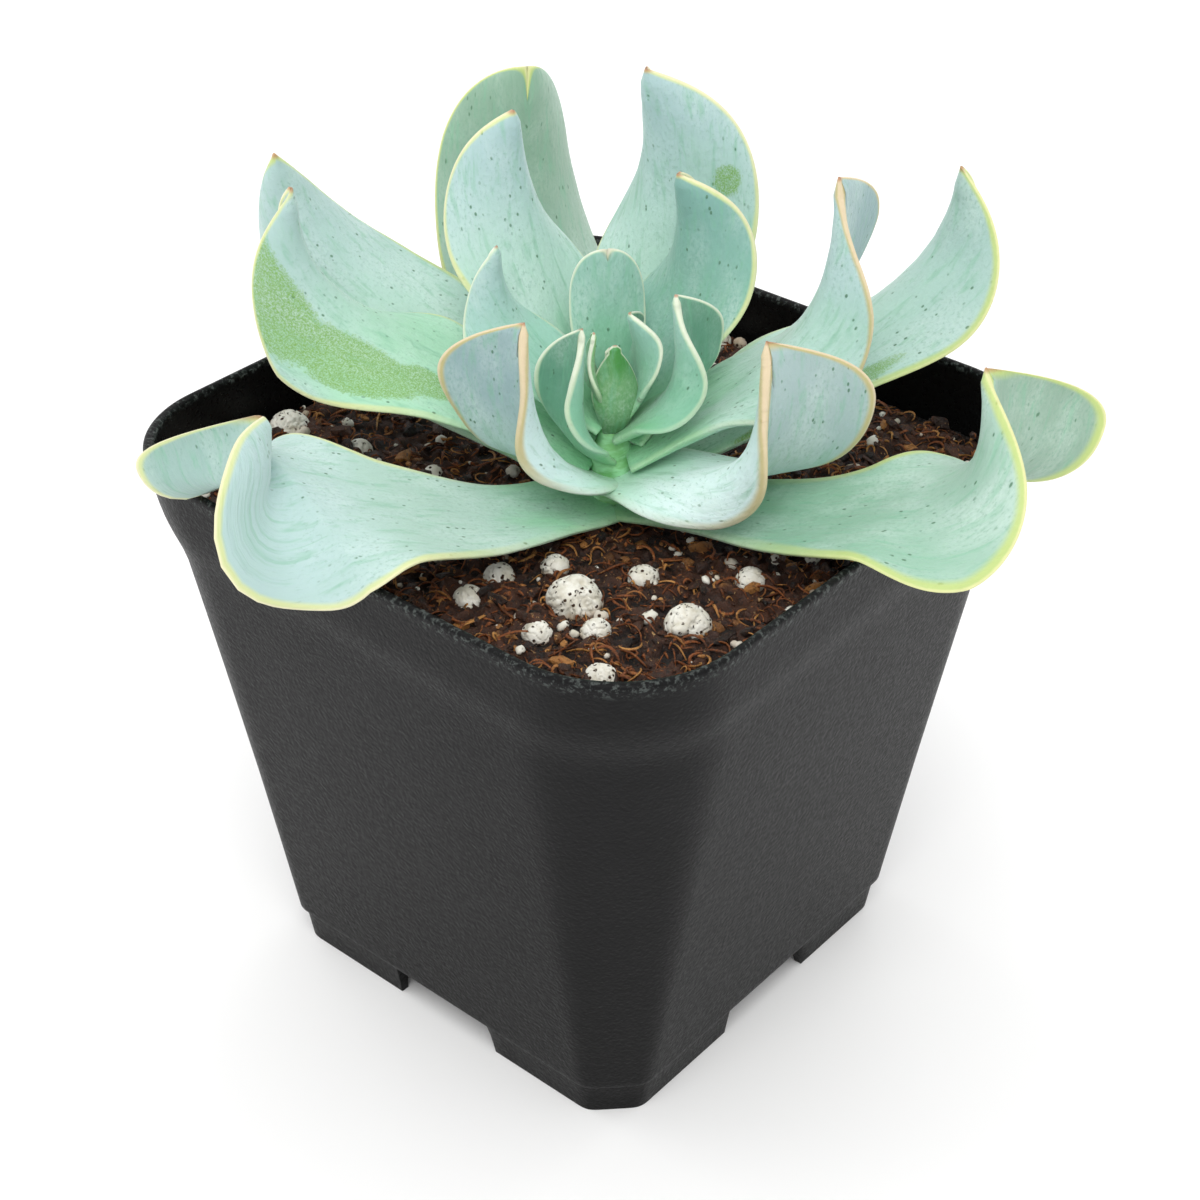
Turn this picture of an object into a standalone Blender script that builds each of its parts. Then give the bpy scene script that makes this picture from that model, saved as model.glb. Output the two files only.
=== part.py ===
"""A potted succulent: an echeveria rosette with curled leaves in a square nursery pot.

Metres, +Z up. Shapes are drawn from the middle of the pot's underside, and the whole is then
set so that the origin is the bottom middle of the box round it.
Leaf headings are turned anticlockwise from +X, seen from above.
"""

import math
from dataclasses import dataclass

import bmesh
import bpy
from mathutils import Matrix, Vector

MM = 0.001

# Pot: a tapered square with cut corners, a proud band at the mouth and a foot under each corner.
POT_TOP_WIDTH = 0.100
POT_BOTTOM_WIDTH = 0.071
POT_HEIGHT = 0.091
WALL = 0.0013
FLOOR = 0.0016
TOP_CORNER_RADIUS = 0.0185
BOTTOM_CORNER_CUT = 0.0075
SHOULDER_CORNER_CUT = 0.0200
BAND_DEPTH = 0.0120
BAND_STEP = 0.0007
LIP = 0.0005
FOOT_HEIGHT = 0.0056
FOOT_INSET = 0.0006
FOOT_GAP_WIDTH = 0.0180
DRAIN_DIAMETER = 0.012
CORNER_STEPS = 7

# Soil and the grains in it.
SOIL_BELOW_RIM = 0.0090
SOIL_EDGE_DIP = 0.0015
SOIL_GAP = 0.0003
GRAIN_GAP = 0.0003
GRAIN_SHOWN = 0.55

# Plant: where its stem stands, seen from above, and how the leaves join it.
PLANT_X = 0.0075
PLANT_Y = -0.0042
STEM_RADIUS = 0.0036
STEM_TOP_RADIUS = 0.0009
STEM_STRAIGHT = 0.0060
STEM_HEIGHT = 0.0160
STEM_DEPTH = 0.0120
LEAF_GAP = 0.0004
REST_GAP = 0.0008
NECK = 0.24
BASE_THICKNESS = 0.7
LEAF_STATIONS = 15
LEAF_ACROSS = 7
MARGIN_THICKNESS = 0.0006


@dataclass(frozen=True)
class Leaf:
    """One leaf. Lengths are in millimetres and heights are above the soil."""

    name: str
    heading: float  # degrees, anticlockwise from +X
    attach: float  # height of its base on the stem
    leaves_at: float  # degrees above level at the base
    straight: float  # how far the first part runs before it bends
    reach: float  # tip's distance from the stem, or past the rim where it rests on it
    top: float  # tip's height
    ends_at: float  # degrees above level at the tip: past 90 it leans back in
    bend: float  # how long the bent end is
    half_width: float
    thickness: float = 3.0
    left_fold: float = 70.0  # degrees by which the end's left margin is rolled back
    right_fold: float = 70.0
    sweep: float = 0.0  # sideways shift of the tip, to its left
    base_roll: float = 0.0
    tip_roll: float = 0.0
    channel: float = 20.0  # degrees by which the margins rise along the first part
    widest: float = 0.66  # share of the length at which it is widest
    notch: float = 0.0  # how far the two shoulders stand past the tip
    on_rim: bool = False


LEAVES = (
    Leaf("leaf_outer_front_left", 262, 1.8, 10, 36, 4.5, 15, 122, 23, 15, left_fold=55, right_fold=50,
         sweep=-16, base_roll=-10, tip_roll=-24, on_rim=True),
    Leaf("leaf_outer_right", 9, 1.8, 12, 34, 7, 28, 112, 25, 15, left_fold=50, right_fold=60,
         sweep=12, base_roll=8, tip_roll=14, on_rim=True),
    Leaf("leaf_outer_back_left", 150, 2.0, 18, 36, 47, 45, 84, 20, 14, left_fold=55, right_fold=60,
         sweep=-3, widest=0.76, notch=3),
    Leaf("leaf_outer_back_right", 65, 4.6, 18, 34, 54, 42, 100, 18, 12.5),
    Leaf("leaf_outer_left", 188, 4.6, 24, 34, 57, 40, 90, 18, 13.5, base_roll=-14, tip_roll=-34),
    Leaf("leaf_front_right", 358, 5.8, 6, 20, 26, 35.5, 100, 24, 13, base_roll=8, tip_roll=-20),
    Leaf("leaf_right", 47, 8.5, 28, 24, 29.5, 48.5, 96, 24, 12.5, tip_roll=-20),
    Leaf("leaf_front_left", 266, 5.6, 4, 12, 16.5, 35, 98, 19, 10.5, thickness=2.6),
    Leaf("leaf_back", 107, 6.9, 38, 30, 24, 56, 108, 22, 12.5, sweep=5),
    Leaf("leaf_left", 205, 7.4, 26, 32, 45, 43, 100, 20, 12, base_roll=-12, tip_roll=-14),
    Leaf("leaf_back_left", 165, 10.0, 42, 24, 24, 51, 100, 18, 10.5),
    Leaf("leaf_inner_back", 88, 10.3, 42, 18, 15, 45, 108, 16, 10, thickness=2.6, sweep=2),
    Leaf("leaf_heart_left", 262, 8.8, 34, 8, 5.5, 30, 96, 11, 6.2, thickness=1.9, tip_roll=-10),
    Leaf("leaf_inner_right", 29, 12.0, 32, 10, 8.5, 34, 98, 13, 8.2, thickness=2.2, tip_roll=-12),
    Leaf("leaf_inner_left", 197, 13.4, 34, 14, 17.0, 37, 100, 12, 7.4, thickness=2.2,
         base_roll=-15, tip_roll=-15),
    Leaf("leaf_heart_back", 135, 12.2, 60, 10, 9, 34, 88, 8, 5.3, thickness=2.0,
         left_fold=30, right_fold=30, notch=1.5, widest=0.74),
    Leaf("leaf_bud_front", 325, 12.4, 65, 6, 1.5, 25, 98, 5, 3.2, thickness=1.4,
         left_fold=-45, right_fold=-45, channel=35),
    Leaf("leaf_heart_right", 64, 14.0, 50, 8, 2.5, 30, 104, 8, 5, thickness=1.7,
         left_fold=55, right_fold=55, tip_roll=-10),
    Leaf("leaf_bud_left", 222, 14.6, 65, 6, 2.5, 27.5, 98, 6, 3.4, thickness=1.4,
         left_fold=20, right_fold=20),
    Leaf("leaf_bud_tip", 150, 15.8, 85, 4, 0.6, 25, 92, 4, 1.8, thickness=1.1,
         left_fold=-30, right_fold=-30, channel=35),
)

# The larger perlite grains: place across and along as shares of the soil's half width, from its
# middle to its edge, then diameter in millimetres.
GRAINS = (
    (0.42, -0.56, 7.8), (0.73, -0.44, 6.2), (0.71, -0.79, 4.8), (0.56, -0.63, 4.4), (0.44, -0.74, 4.2),
    (0.18, -0.74, 4.4), (0.17, -0.60, 4.6), (0.26, -0.46, 4.4), (0.49, -0.34, 4.6), (0.73, -0.15, 4.4),
    (-0.92, -0.57, 4.6), (-0.90, -0.41, 6.2), (-0.69, -0.63, 6.2), (-0.64, -0.36, 4.0), (-0.24, 0.92, 5.4),
)
# A chip of bark: the same two shares, then length, width and thickness in millimetres.
BARK_CHIP = (-0.47, -0.48, 6.0, 4.0, 1.6)


@dataclass(frozen=True)
class Finish:
    """Colour (linear) and roughness of one piece."""

    color: tuple
    roughness: float


POT_FINISH = Finish((0.030, 0.031, 0.031), 0.55)
SOIL_FINISH = Finish((0.060, 0.028, 0.014), 0.95)
STEM_FINISH = Finish((0.270, 0.420, 0.240), 0.70)
LEAF_FINISH = Finish((0.330, 0.600, 0.480), 0.62)
GRAIN_FINISH = Finish((0.760, 0.740, 0.680), 0.90)
BARK_FINISH = Finish((0.300, 0.170, 0.070), 0.85)


def clear_scene():
    """Removes the startup objects."""
    for obj in list(bpy.data.objects):
        bpy.data.objects.remove(obj, do_unlink=True)


def new_collection(name, hidden=False):
    """A collection in the scene, left out of renders where it holds helpers."""
    collection = bpy.data.collections.new(name)
    collection.hide_render = hidden
    bpy.context.scene.collection.children.link(collection)
    return collection


def material(name, finish):
    """A Principled BSDF material of its own for each piece."""
    made = bpy.data.materials.new(name)
    made.use_nodes = True
    shader = made.node_tree.nodes["Principled BSDF"]
    shader.inputs["Base Color"].default_value = (*finish.color, 1.0)
    shader.inputs["Roughness"].default_value = finish.roughness
    shader.inputs["Metallic"].default_value = 0.0
    return made


def finish_mesh(name, work, collection, finish=None, smooth=False):
    """Turns a bmesh into a named object with its own material."""
    bmesh.ops.recalc_face_normals(work, faces=work.faces)
    mesh = bpy.data.meshes.new(name)
    work.to_mesh(mesh)
    work.free()
    for face in mesh.polygons:
        face.use_smooth = smooth
    obj = bpy.data.objects.new(name, mesh)
    collection.objects.link(obj)
    if finish:
        mesh.materials.append(material(name, finish))
    else:
        obj.display_type = "WIRE"
        obj.hide_render = True
    return obj


def loft(rings):
    """A closed body through rings that all have the same number of points."""
    work = bmesh.new()
    rows = [[work.verts.new(point) for point in ring] for ring in rings]
    for low, high in zip(rows, rows[1:]):
        for i in range(len(low)):
            j = (i + 1) % len(low)
            work.faces.new((low[i], low[j], high[j]))
            work.faces.new((low[i], high[j], high[i]))
    work.faces.new(reversed(rows[0]))
    work.faces.new(rows[-1])
    return work


def square_ring(half, cut, roundness, z):
    """A square's outline with its corners cut by `cut`: straight at roundness 0, an arc at 1."""
    points = []
    for quarter in range(4):
        turn = Matrix.Rotation(math.radians(90 * quarter), 3, "Z")
        for step in range(CORNER_STEPS + 1):
            share = step / CORNER_STEPS
            angle = math.radians(90 * share)
            arc = Vector((half - cut + cut * math.cos(angle), half - cut + cut * math.sin(angle), z))
            straight = Vector((half - cut * share, half - cut * (1 - share), z))
            points.append(turn @ straight.lerp(arc, roundness))
    return points


def pot_half(z):
    """Half the pot's outside width at height z, without the band and the foot's inset."""
    return (POT_BOTTOM_WIDTH + (POT_TOP_WIDTH - POT_BOTTOM_WIDTH) * z / POT_HEIGHT) / 2


def wall_cut(z):
    """How far the corner is cut at height z, below the band."""
    shoulder = POT_HEIGHT - BAND_DEPTH
    return BOTTOM_CORNER_CUT + (SHOULDER_CORNER_CUT - BOTTOM_CORNER_CUT) * z / shoulder


def subtract(target, cutter, name):
    """Cuts one object from another."""
    modifier = target.modifiers.new(name, "BOOLEAN")
    modifier.operation = "DIFFERENCE"
    modifier.solver = "EXACT"
    modifier.object = cutter


def box(name, size, centre, collection):
    """A box cutter."""
    work = bmesh.new()
    bmesh.ops.create_cube(work, size=1.0, matrix=Matrix.Translation(centre) @ Matrix.Diagonal((*size, 1.0)))
    return finish_mesh(name, work, collection)


def cylinder(name, radius, low, high, centre, collection, finish=None, top_radius=None, sides=24):
    """An upright cylinder or cone from height low to high."""
    work = bmesh.new()
    place = Matrix.Translation((centre[0], centre[1], (low + high) / 2))
    bmesh.ops.create_cone(
        work, cap_ends=True, segments=sides, radius1=radius,
        radius2=radius if top_radius is None else top_radius, depth=high - low, matrix=place,
    )
    return finish_mesh(name, work, collection, finish)


def build_pot(parts, cutters):
    """The pot: outside body, less the hollow, the space under its floor, the foot gaps and the drain."""
    shoulder = POT_HEIGHT - BAND_DEPTH
    foot = FOOT_HEIGHT
    outside = [
        square_ring(pot_half(0) - FOOT_INSET, BOTTOM_CORNER_CUT, 0.15, 0),
        square_ring(pot_half(foot) - FOOT_INSET, wall_cut(foot), 0.15, foot),
        square_ring(pot_half(foot), wall_cut(foot), 0.15, foot + FOOT_INSET),
        square_ring(pot_half(shoulder / 2), wall_cut(shoulder / 2), 0.20, shoulder / 2),
        square_ring(pot_half(shoulder), SHOULDER_CORNER_CUT, 0.35, shoulder),
        square_ring(pot_half(shoulder) + BAND_STEP, TOP_CORNER_RADIUS, 1.0, shoulder + BAND_STEP),
        square_ring(pot_half(POT_HEIGHT), TOP_CORNER_RADIUS, 1.0, POT_HEIGHT - 2 * LIP),
        square_ring(pot_half(POT_HEIGHT), TOP_CORNER_RADIUS, 1.0, POT_HEIGHT - LIP),
        square_ring(pot_half(POT_HEIGHT) - LIP / 2, TOP_CORNER_RADIUS - LIP / 2, 1.0, POT_HEIGHT),
    ]
    pot = finish_mesh("pot", loft(outside), parts, POT_FINISH)
    subtract(pot, finish_mesh("pot_hollow", loft(hollow_rings(0, POT_HEIGHT + WALL)), cutters), "Hollow")
    under = [
        square_ring(pot_half(-WALL) - FOOT_INSET - WALL, BOTTOM_CORNER_CUT - WALL / 2, 0.15, -WALL),
        square_ring(pot_half(foot) - FOOT_INSET - WALL, wall_cut(foot) - WALL / 2, 0.15, foot),
    ]
    subtract(pot, finish_mesh("pot_underside", loft(under), cutters), "Underside")
    across = POT_BOTTOM_WIDTH + 4 * WALL
    height = 2 * FOOT_HEIGHT
    subtract(pot, box("foot_gap_x", (across, FOOT_GAP_WIDTH, height), (0, 0, 0), cutters), "Foot gaps 1")
    subtract(pot, box("foot_gap_y", (FOOT_GAP_WIDTH, across, height), (0, 0, 0), cutters), "Foot gaps 2")
    drain = cylinder("pot_drain", DRAIN_DIAMETER / 2, 0, 2 * (foot + FLOOR), (0, 0), cutters)
    subtract(pot, drain, "Drain")
    return pot


def hollow_rings(gap, top):
    """The pot's inside from its floor up, drawn in by `gap` on every side."""
    shoulder = POT_HEIGHT - BAND_DEPTH
    low = FOOT_HEIGHT + FLOOR + gap
    inset = WALL + gap
    rings = [square_ring(pot_half(low) - inset, wall_cut(low) - inset / 2, 0.3, low)]
    if top <= shoulder:
        rings.append(square_ring(pot_half(top) - inset, wall_cut(top) - inset / 2, 0.35, top))
        return rings
    rings.append(square_ring(pot_half(shoulder) - inset, SHOULDER_CORNER_CUT - inset / 2, 0.35, shoulder))
    band = shoulder + BAND_STEP
    rings.append(square_ring(pot_half(band) - inset, TOP_CORNER_RADIUS - inset / 2, 1.0, band))
    rings.append(square_ring(pot_half(top) - inset, TOP_CORNER_RADIUS - inset / 2, 1.0, top))
    return rings


def soil_level():
    """Height of the soil's flat top."""
    return POT_HEIGHT - SOIL_BELOW_RIM


def soil_half():
    """Half the width of the soil's top."""
    return pot_half(soil_level()) - WALL - SOIL_GAP


def build_soil(parts, cutters):
    """The soil: the pot's inside, filled to its level, with seats for the stem, the grains and the chip."""
    top = soil_level()
    rings = hollow_rings(SOIL_GAP, top - SOIL_EDGE_DIP)
    half = soil_half() - 2 * SOIL_EDGE_DIP
    rings.append(square_ring(half, TOP_CORNER_RADIUS - 2 * SOIL_EDGE_DIP, 1.0, top))
    soil = finish_mesh("soil", loft(rings), parts, SOIL_FINISH)
    low = top - STEM_DEPTH - LEAF_GAP
    seat = cylinder("stem_seat", STEM_RADIUS + LEAF_GAP, low, top + WALL, (PLANT_X, PLANT_Y), cutters)
    subtract(soil, seat, "Stem seat")
    for number, place in enumerate(GRAINS, 1):
        subtract(soil, build_grain(f"grain_seat_{number:02d}", place, GRAIN_GAP, cutters), f"Grain {number}")
    subtract(soil, build_chip("chip_seat", GRAIN_GAP, cutters), "Bark chip")
    return soil


def build_grain(name, place, gap, collection, finish=None):
    """A rounded perlite grain, part sunk in the soil, or the seat that it lies in."""
    across, along = (share * soil_half() for share in place[:2])
    diameter = place[2] * MM
    tall = 0.86 * diameter
    sizes = (diameter / 2 + gap, 0.92 * diameter / 2 + gap, tall / 2 + gap)
    centre = Vector((across, along, soil_level() + (GRAIN_SHOWN - 0.5) * tall))
    turn = Matrix.Rotation(across * 900, 4, "Z")
    work = bmesh.new()
    place = Matrix.Translation(centre) @ turn @ Matrix.Diagonal((*sizes, 1.0))
    bmesh.ops.create_icosphere(work, subdivisions=1, radius=1.0, matrix=place)
    return finish_mesh(name, work, collection, finish)


def build_chip(name, gap, collection, finish=None):
    """A flat chip of bark, part sunk in the soil, or the seat that it lies in."""
    across, along = (share * soil_half() for share in BARK_CHIP[:2])
    length, width, thickness = (value * MM for value in BARK_CHIP[2:])
    sizes = (length + 2 * gap, width + 2 * gap, thickness + 2 * gap)
    centre = Vector((across, along, soil_level() + 0.2 * thickness))
    work = bmesh.new()
    place = Matrix.Translation(centre) @ Matrix.Rotation(0.6, 4, "Z") @ Matrix.Diagonal((*sizes, 1.0))
    bmesh.ops.create_cube(work, size=1.0, matrix=place)
    chip = finish_mesh(name, work, collection, finish)
    bevel = chip.modifiers.new("Worn edges", "BEVEL")
    bevel.width = 0.3 * thickness
    bevel.segments = 1
    return chip


def stem_radius(height):
    """The stem's radius at a height above the soil."""
    if height <= STEM_STRAIGHT:
        return STEM_RADIUS
    share = min(1, (height - STEM_STRAIGHT) / (STEM_HEIGHT - STEM_STRAIGHT))
    return STEM_RADIUS + (STEM_TOP_RADIUS - STEM_RADIUS) * share


def build_stem(parts):
    """The short stem: straight in the soil and narrowing between the leaf bases."""
    level = soil_level()
    heights = (-STEM_DEPTH, STEM_STRAIGHT, STEM_HEIGHT)
    rings = []
    for height in heights:
        radius = stem_radius(height)
        rings.append([
            Vector((PLANT_X + radius * math.cos(math.radians(15 * i)),
                    PLANT_Y + radius * math.sin(math.radians(15 * i)), level + height))
            for i in range(24)
        ])
    return finish_mesh("stem", loft(rings), parts, STEM_FINISH)


def ease(low, high, value):
    """0 below low, 1 above high, and a smooth rise between."""
    share = min(1, max(0, (value - low) / (high - low)))
    return share * share * (3 - 2 * share)


def rim_distance(leaf):
    """How far the pot's outer wall is from the stem along the leaf's heading."""
    angle = math.radians(leaf.heading)
    half = POT_TOP_WIDTH / 2
    to_x = (math.copysign(half, math.cos(angle)) - PLANT_X) / math.cos(angle)
    to_y = (math.copysign(half, math.sin(angle)) - PLANT_Y) / math.sin(angle)
    return min(to_x, to_y)


def midrib(leaf):
    """Evenly spaced (out, up) points along the leaf's middle, in metres from the stem at soil level."""
    leaves_at, ends_at = math.radians(leaf.leaves_at), math.radians(leaf.ends_at)
    tuck = leaf.thickness * MM / 2 * math.sin(leaves_at)
    start = Vector((stem_radius(leaf.attach * MM) + LEAF_GAP + tuck, leaf.attach * MM))
    reach = leaf.reach * MM + (rim_distance(leaf) if leaf.on_rim else 0)
    straight = leaf.straight * MM
    if leaf.on_rim:
        straight = 0.8 * rim_distance(leaf)
    tip = Vector((reach, leaf.top * MM))
    first = start + straight * Vector((math.cos(leaves_at), math.sin(leaves_at)))
    second = tip - leaf.bend * MM * Vector((math.cos(ends_at), math.sin(ends_at)))
    curve = []
    for i in range(201):
        t = i / 200
        weights = ((1 - t) ** 3, 3 * (1 - t) ** 2 * t, 3 * (1 - t) * t * t, t ** 3)
        corners = (start, first, second, tip)
        curve.append(sum((w * c for w, c in zip(weights, corners)), Vector((0, 0))))
    lengths = [0.0]
    for a, b in zip(curve, curve[1:]):
        lengths.append(lengths[-1] + (b - a).length)
    points = []
    at = 0
    for station in range(LEAF_STATIONS):
        share = 1 - (1 - station / (LEAF_STATIONS - 1)) ** 1.15
        wanted = share * lengths[-1]
        while at < 199 and lengths[at + 1] < wanted:
            at += 1
        part = (wanted - lengths[at]) / (lengths[at + 1] - lengths[at])
        points.append((share, curve[at].lerp(curve[at + 1], part)))
    return points


def half_width(leaf, share):
    """Half the leaf's flat width at a share of its length: a narrow neck, a wide end and a point."""
    if share < leaf.widest:
        width = NECK + (1 - NECK) * ease(-0.08, leaf.widest, share)
    else:
        past = min(1, (share - leaf.widest) / (1 - leaf.widest))
        width = max(0, 1 - past ** 2.1) ** 0.8
    return max(0.25 * MM, width * leaf.half_width * MM)


def leaf_rings(leaf):
    """Closed sections from base to tip. Each is an arc across the leaf with the leaf's thickness."""
    level = Vector((PLANT_X, PLANT_Y, soil_level()))
    angle = math.radians(leaf.heading)
    out = Vector((math.cos(angle), math.sin(angle), 0))
    side = Vector((-math.sin(angle), math.cos(angle), 0))
    stations = [
        (share, level + point.x * out + Vector((0, 0, point.y)) + leaf.sweep * MM * share ** 2 * side)
        for share, point in midrib(leaf)
    ]
    rings = []
    for i, (share, centre) in enumerate(stations):
        before = stations[max(0, i - 1)][1]
        after = stations[min(len(stations) - 1, i + 1)][1]
        along = (after - before).normalized()
        left = (side - side.dot(along) * along).normalized()
        roll = math.radians(leaf.base_roll * (1 - share) + leaf.tip_roll * share)
        left = Matrix.Rotation(roll, 3, along) @ left
        face = along.cross(left)
        rings.append(section(leaf, share, centre, along, left, face))
    return rings


def section(leaf, share, centre, along, left, face):
    """One closed section: its upper points from right to left, then its lower points back again."""
    width = half_width(leaf, share)
    curled = ease(0.45, 0.9, share)
    thickness = leaf.thickness * MM * (1 - 0.45 * ease(0.3, 1, share))
    thickness *= min(1, width / (0.3 * leaf.half_width * MM) + 0.15)
    thickness *= BASE_THICKNESS + (1 - BASE_THICKNESS) * ease(0, 0.25, share)
    shoulder = leaf.notch * MM * ease(0.6, 1, share)
    upper, lower = [], []
    for i in range(LEAF_ACROSS):
        across = 2 * i / (LEAF_ACROSS - 1) - 1
        fold = leaf.left_fold if across > 0 else leaf.right_fold
        arc = math.radians(leaf.channel * (1 - curled) - fold * curled) or 1e-4
        turned = arc * abs(across)
        sign = math.copysign(1, across)
        middle = centre + sign * width * math.sin(turned) / arc * left
        middle += width * (1 - math.cos(turned)) / arc * face
        middle += shoulder * (1 - (1 - abs(across)) ** 2) * along
        normal = math.cos(turned) * face - sign * math.sin(turned) * left
        margin = min(MARGIN_THICKNESS, 0.5 * thickness)
        half = (margin + (thickness - margin) * math.sqrt(max(0, 1 - across ** 2))) / 2
        upper.append(middle + half * normal)
        lower.append(middle - half * normal)
    return upper + lower[::-1]


def rest_on_rim(rings, leaf):
    """Raises a leaf, more the further out it is, until its underside clears the pot's rim."""
    angle = math.radians(leaf.heading)
    out = Vector((math.cos(angle), math.sin(angle), 0))
    wall_x = abs(math.cos(angle)) > abs(math.sin(angle))
    normal = Vector((math.copysign(1, out.x), 0, 0)) if wall_x else Vector((0, math.copysign(1, out.y), 0))
    half = POT_TOP_WIDTH / 2
    lowest = math.inf
    count = len(rings[0])
    edges = [(a[i], b[i]) for a, b in zip(rings, rings[1:]) for i in range(count)]
    edges += [(ring[i], ring[(i + 1) % count]) for ring in rings for i in range(count)]
    for a, b in edges:
        for plane in (half, half - WALL / 2, half - WALL):
            start, end = a.dot(normal) - plane, b.dot(normal) - plane
            if (start < 0) != (end < 0):
                lowest = min(lowest, a.lerp(b, start / (start - end)).z)
    lift = POT_HEIGHT + REST_GAP - lowest
    stem = Vector((PLANT_X, PLANT_Y, 0))
    reach = rim_distance(leaf)
    for ring in rings:
        for point in ring:
            point.z += lift * min(1, max(0, (point - stem).dot(out)) / reach) ** 2


def build_leaf(leaf, parts):
    """One leaf as a closed body."""
    rings = leaf_rings(leaf)
    if leaf.on_rim:
        rest_on_rim(rings, leaf)
    return finish_mesh(leaf.name, loft(rings), parts, LEAF_FINISH, smooth=True)


def middle_of(pieces):
    """The middle, seen from above, of the box round the finished pieces."""
    bpy.context.view_layer.update()
    graph = bpy.context.evaluated_depsgraph_get()
    corners = []
    for piece in pieces:
        mesh = piece.evaluated_get(graph).to_mesh()
        corners += [(vertex.co.x, vertex.co.y) for vertex in mesh.vertices]
        piece.evaluated_get(graph).to_mesh_clear()
    across = [corner[0] for corner in corners]
    along = [corner[1] for corner in corners]
    return Vector(((min(across) + max(across)) / 2, (min(along) + max(along)) / 2, 0))


def main():
    """Builds every piece under one empty, which stands the whole on the origin."""
    clear_scene()
    parts = new_collection("potted_succulent")
    cutters = new_collection("cutters", hidden=True)
    pieces = [build_pot(parts, cutters), build_soil(parts, cutters), build_stem(parts)]
    pieces += [build_leaf(leaf, parts) for leaf in LEAVES]
    for number, place in enumerate(GRAINS, 1):
        pieces.append(build_grain(f"perlite_{number:02d}", place, 0, parts, GRAIN_FINISH))
    pieces.append(build_chip("bark_chip", 0, parts, BARK_FINISH))
    middle = middle_of(pieces)
    root = bpy.data.objects.new("potted_succulent", None)
    parts.objects.link(root)
    for piece in (*pieces, *cutters.objects):
        piece.parent = root
    root.location = -middle


main()
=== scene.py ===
"""Looks for a potted succulent: a rosette of powdery, folded leaves in a square nursery pot.

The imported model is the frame. Every piece here stands in the place of one of its nodes and is drawn
from the middle of the pot's underside, which is read from the frame. Lengths inside the classes are
in millimetres, and meshes are written in metres.
"""

import logging
from dataclasses import dataclass, field
from enum import Enum

import bmesh
import bpy
import numpy as np
from mathutils import Matrix, Vector

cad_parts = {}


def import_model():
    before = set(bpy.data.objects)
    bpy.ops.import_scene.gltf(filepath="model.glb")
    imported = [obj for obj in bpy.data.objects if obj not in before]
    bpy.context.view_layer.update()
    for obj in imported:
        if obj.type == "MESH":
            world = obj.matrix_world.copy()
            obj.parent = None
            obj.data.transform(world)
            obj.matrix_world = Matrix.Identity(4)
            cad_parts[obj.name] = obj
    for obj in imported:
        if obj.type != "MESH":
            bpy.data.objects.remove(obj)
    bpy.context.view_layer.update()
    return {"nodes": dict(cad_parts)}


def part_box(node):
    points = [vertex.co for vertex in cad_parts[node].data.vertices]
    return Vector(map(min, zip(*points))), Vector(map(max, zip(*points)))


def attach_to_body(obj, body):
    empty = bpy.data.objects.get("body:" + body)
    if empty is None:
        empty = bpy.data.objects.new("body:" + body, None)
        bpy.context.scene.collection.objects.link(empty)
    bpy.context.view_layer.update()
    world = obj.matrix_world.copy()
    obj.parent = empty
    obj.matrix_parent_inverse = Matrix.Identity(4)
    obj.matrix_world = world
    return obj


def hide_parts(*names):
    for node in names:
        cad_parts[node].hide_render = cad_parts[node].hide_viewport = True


LOG = logging.getLogger("succulent")
MM = 0.001
LEAF_UV_MM = 100.0

Array = np.ndarray
Color = tuple[float, float, float]
Rgb = tuple[int, int, int]
Socket = bpy.types.NodeSocket

NO_QUADS = np.zeros((0, 4), int)
NO_TRIANGLES = np.zeros((0, 3), int)


# ---------------------------------------------------------------- colour


def tone(red: int, green: int, blue: int) -> Color:
    """A display colour from 0 to 255 as the linear colour that shaders take, by the sRGB standard's curve.

    Args:
        red: red from 0 to 255.
        green: green from 0 to 255.
        blue: blue from 0 to 255.

    Returns:
        The three linear values.
    """
    values = np.array([red, green, blue]) / 255.0
    linear = np.where(values <= 0.04045, values / 12.92, ((values + 0.055) / 1.055) ** 2.4)
    return tuple(float(value) for value in linear)


# ---------------------------------------------------------------- noise and curves


def rise(low: float, high: float, value: Array) -> Array:
    """A smooth step: 0 below `low`, 1 above `high`, and 3t^2 - 2t^3 between.

    Args:
        low: where the rise starts.
        high: where it ends.
        value: the values to step.

    Returns:
        The stepped values.
    """
    share = np.clip((value - low) / (high - low), 0.0, 1.0)
    return share * share * (3.0 - 2.0 * share)


def lattice(cells: Array, seed: int) -> Array:
    """A fixed random value from -1 to 1 for each whole-numbered cell, by mixing its integers.

    The large odd factors have no meaning of their own: they only spread the bits.

    Args:
        cells: whole numbers, shape (..., 3).
        seed: picks another set of values.

    Returns:
        One value for each cell.
    """
    all_bits = 0xFFFFFFFF
    mixed = cells[..., 0] * 73856093 ^ cells[..., 1] * 19349663 ^ cells[..., 2] * 83492791
    mixed = (mixed ^ (seed * 2654435761)) & all_bits
    mixed = ((mixed ^ (mixed >> 15)) * 2246822519) & all_bits
    mixed = ((mixed ^ (mixed >> 13)) * 3266489917) & all_bits
    return (mixed ^ (mixed >> 16)) / (all_bits / 2) - 1.0


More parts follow.
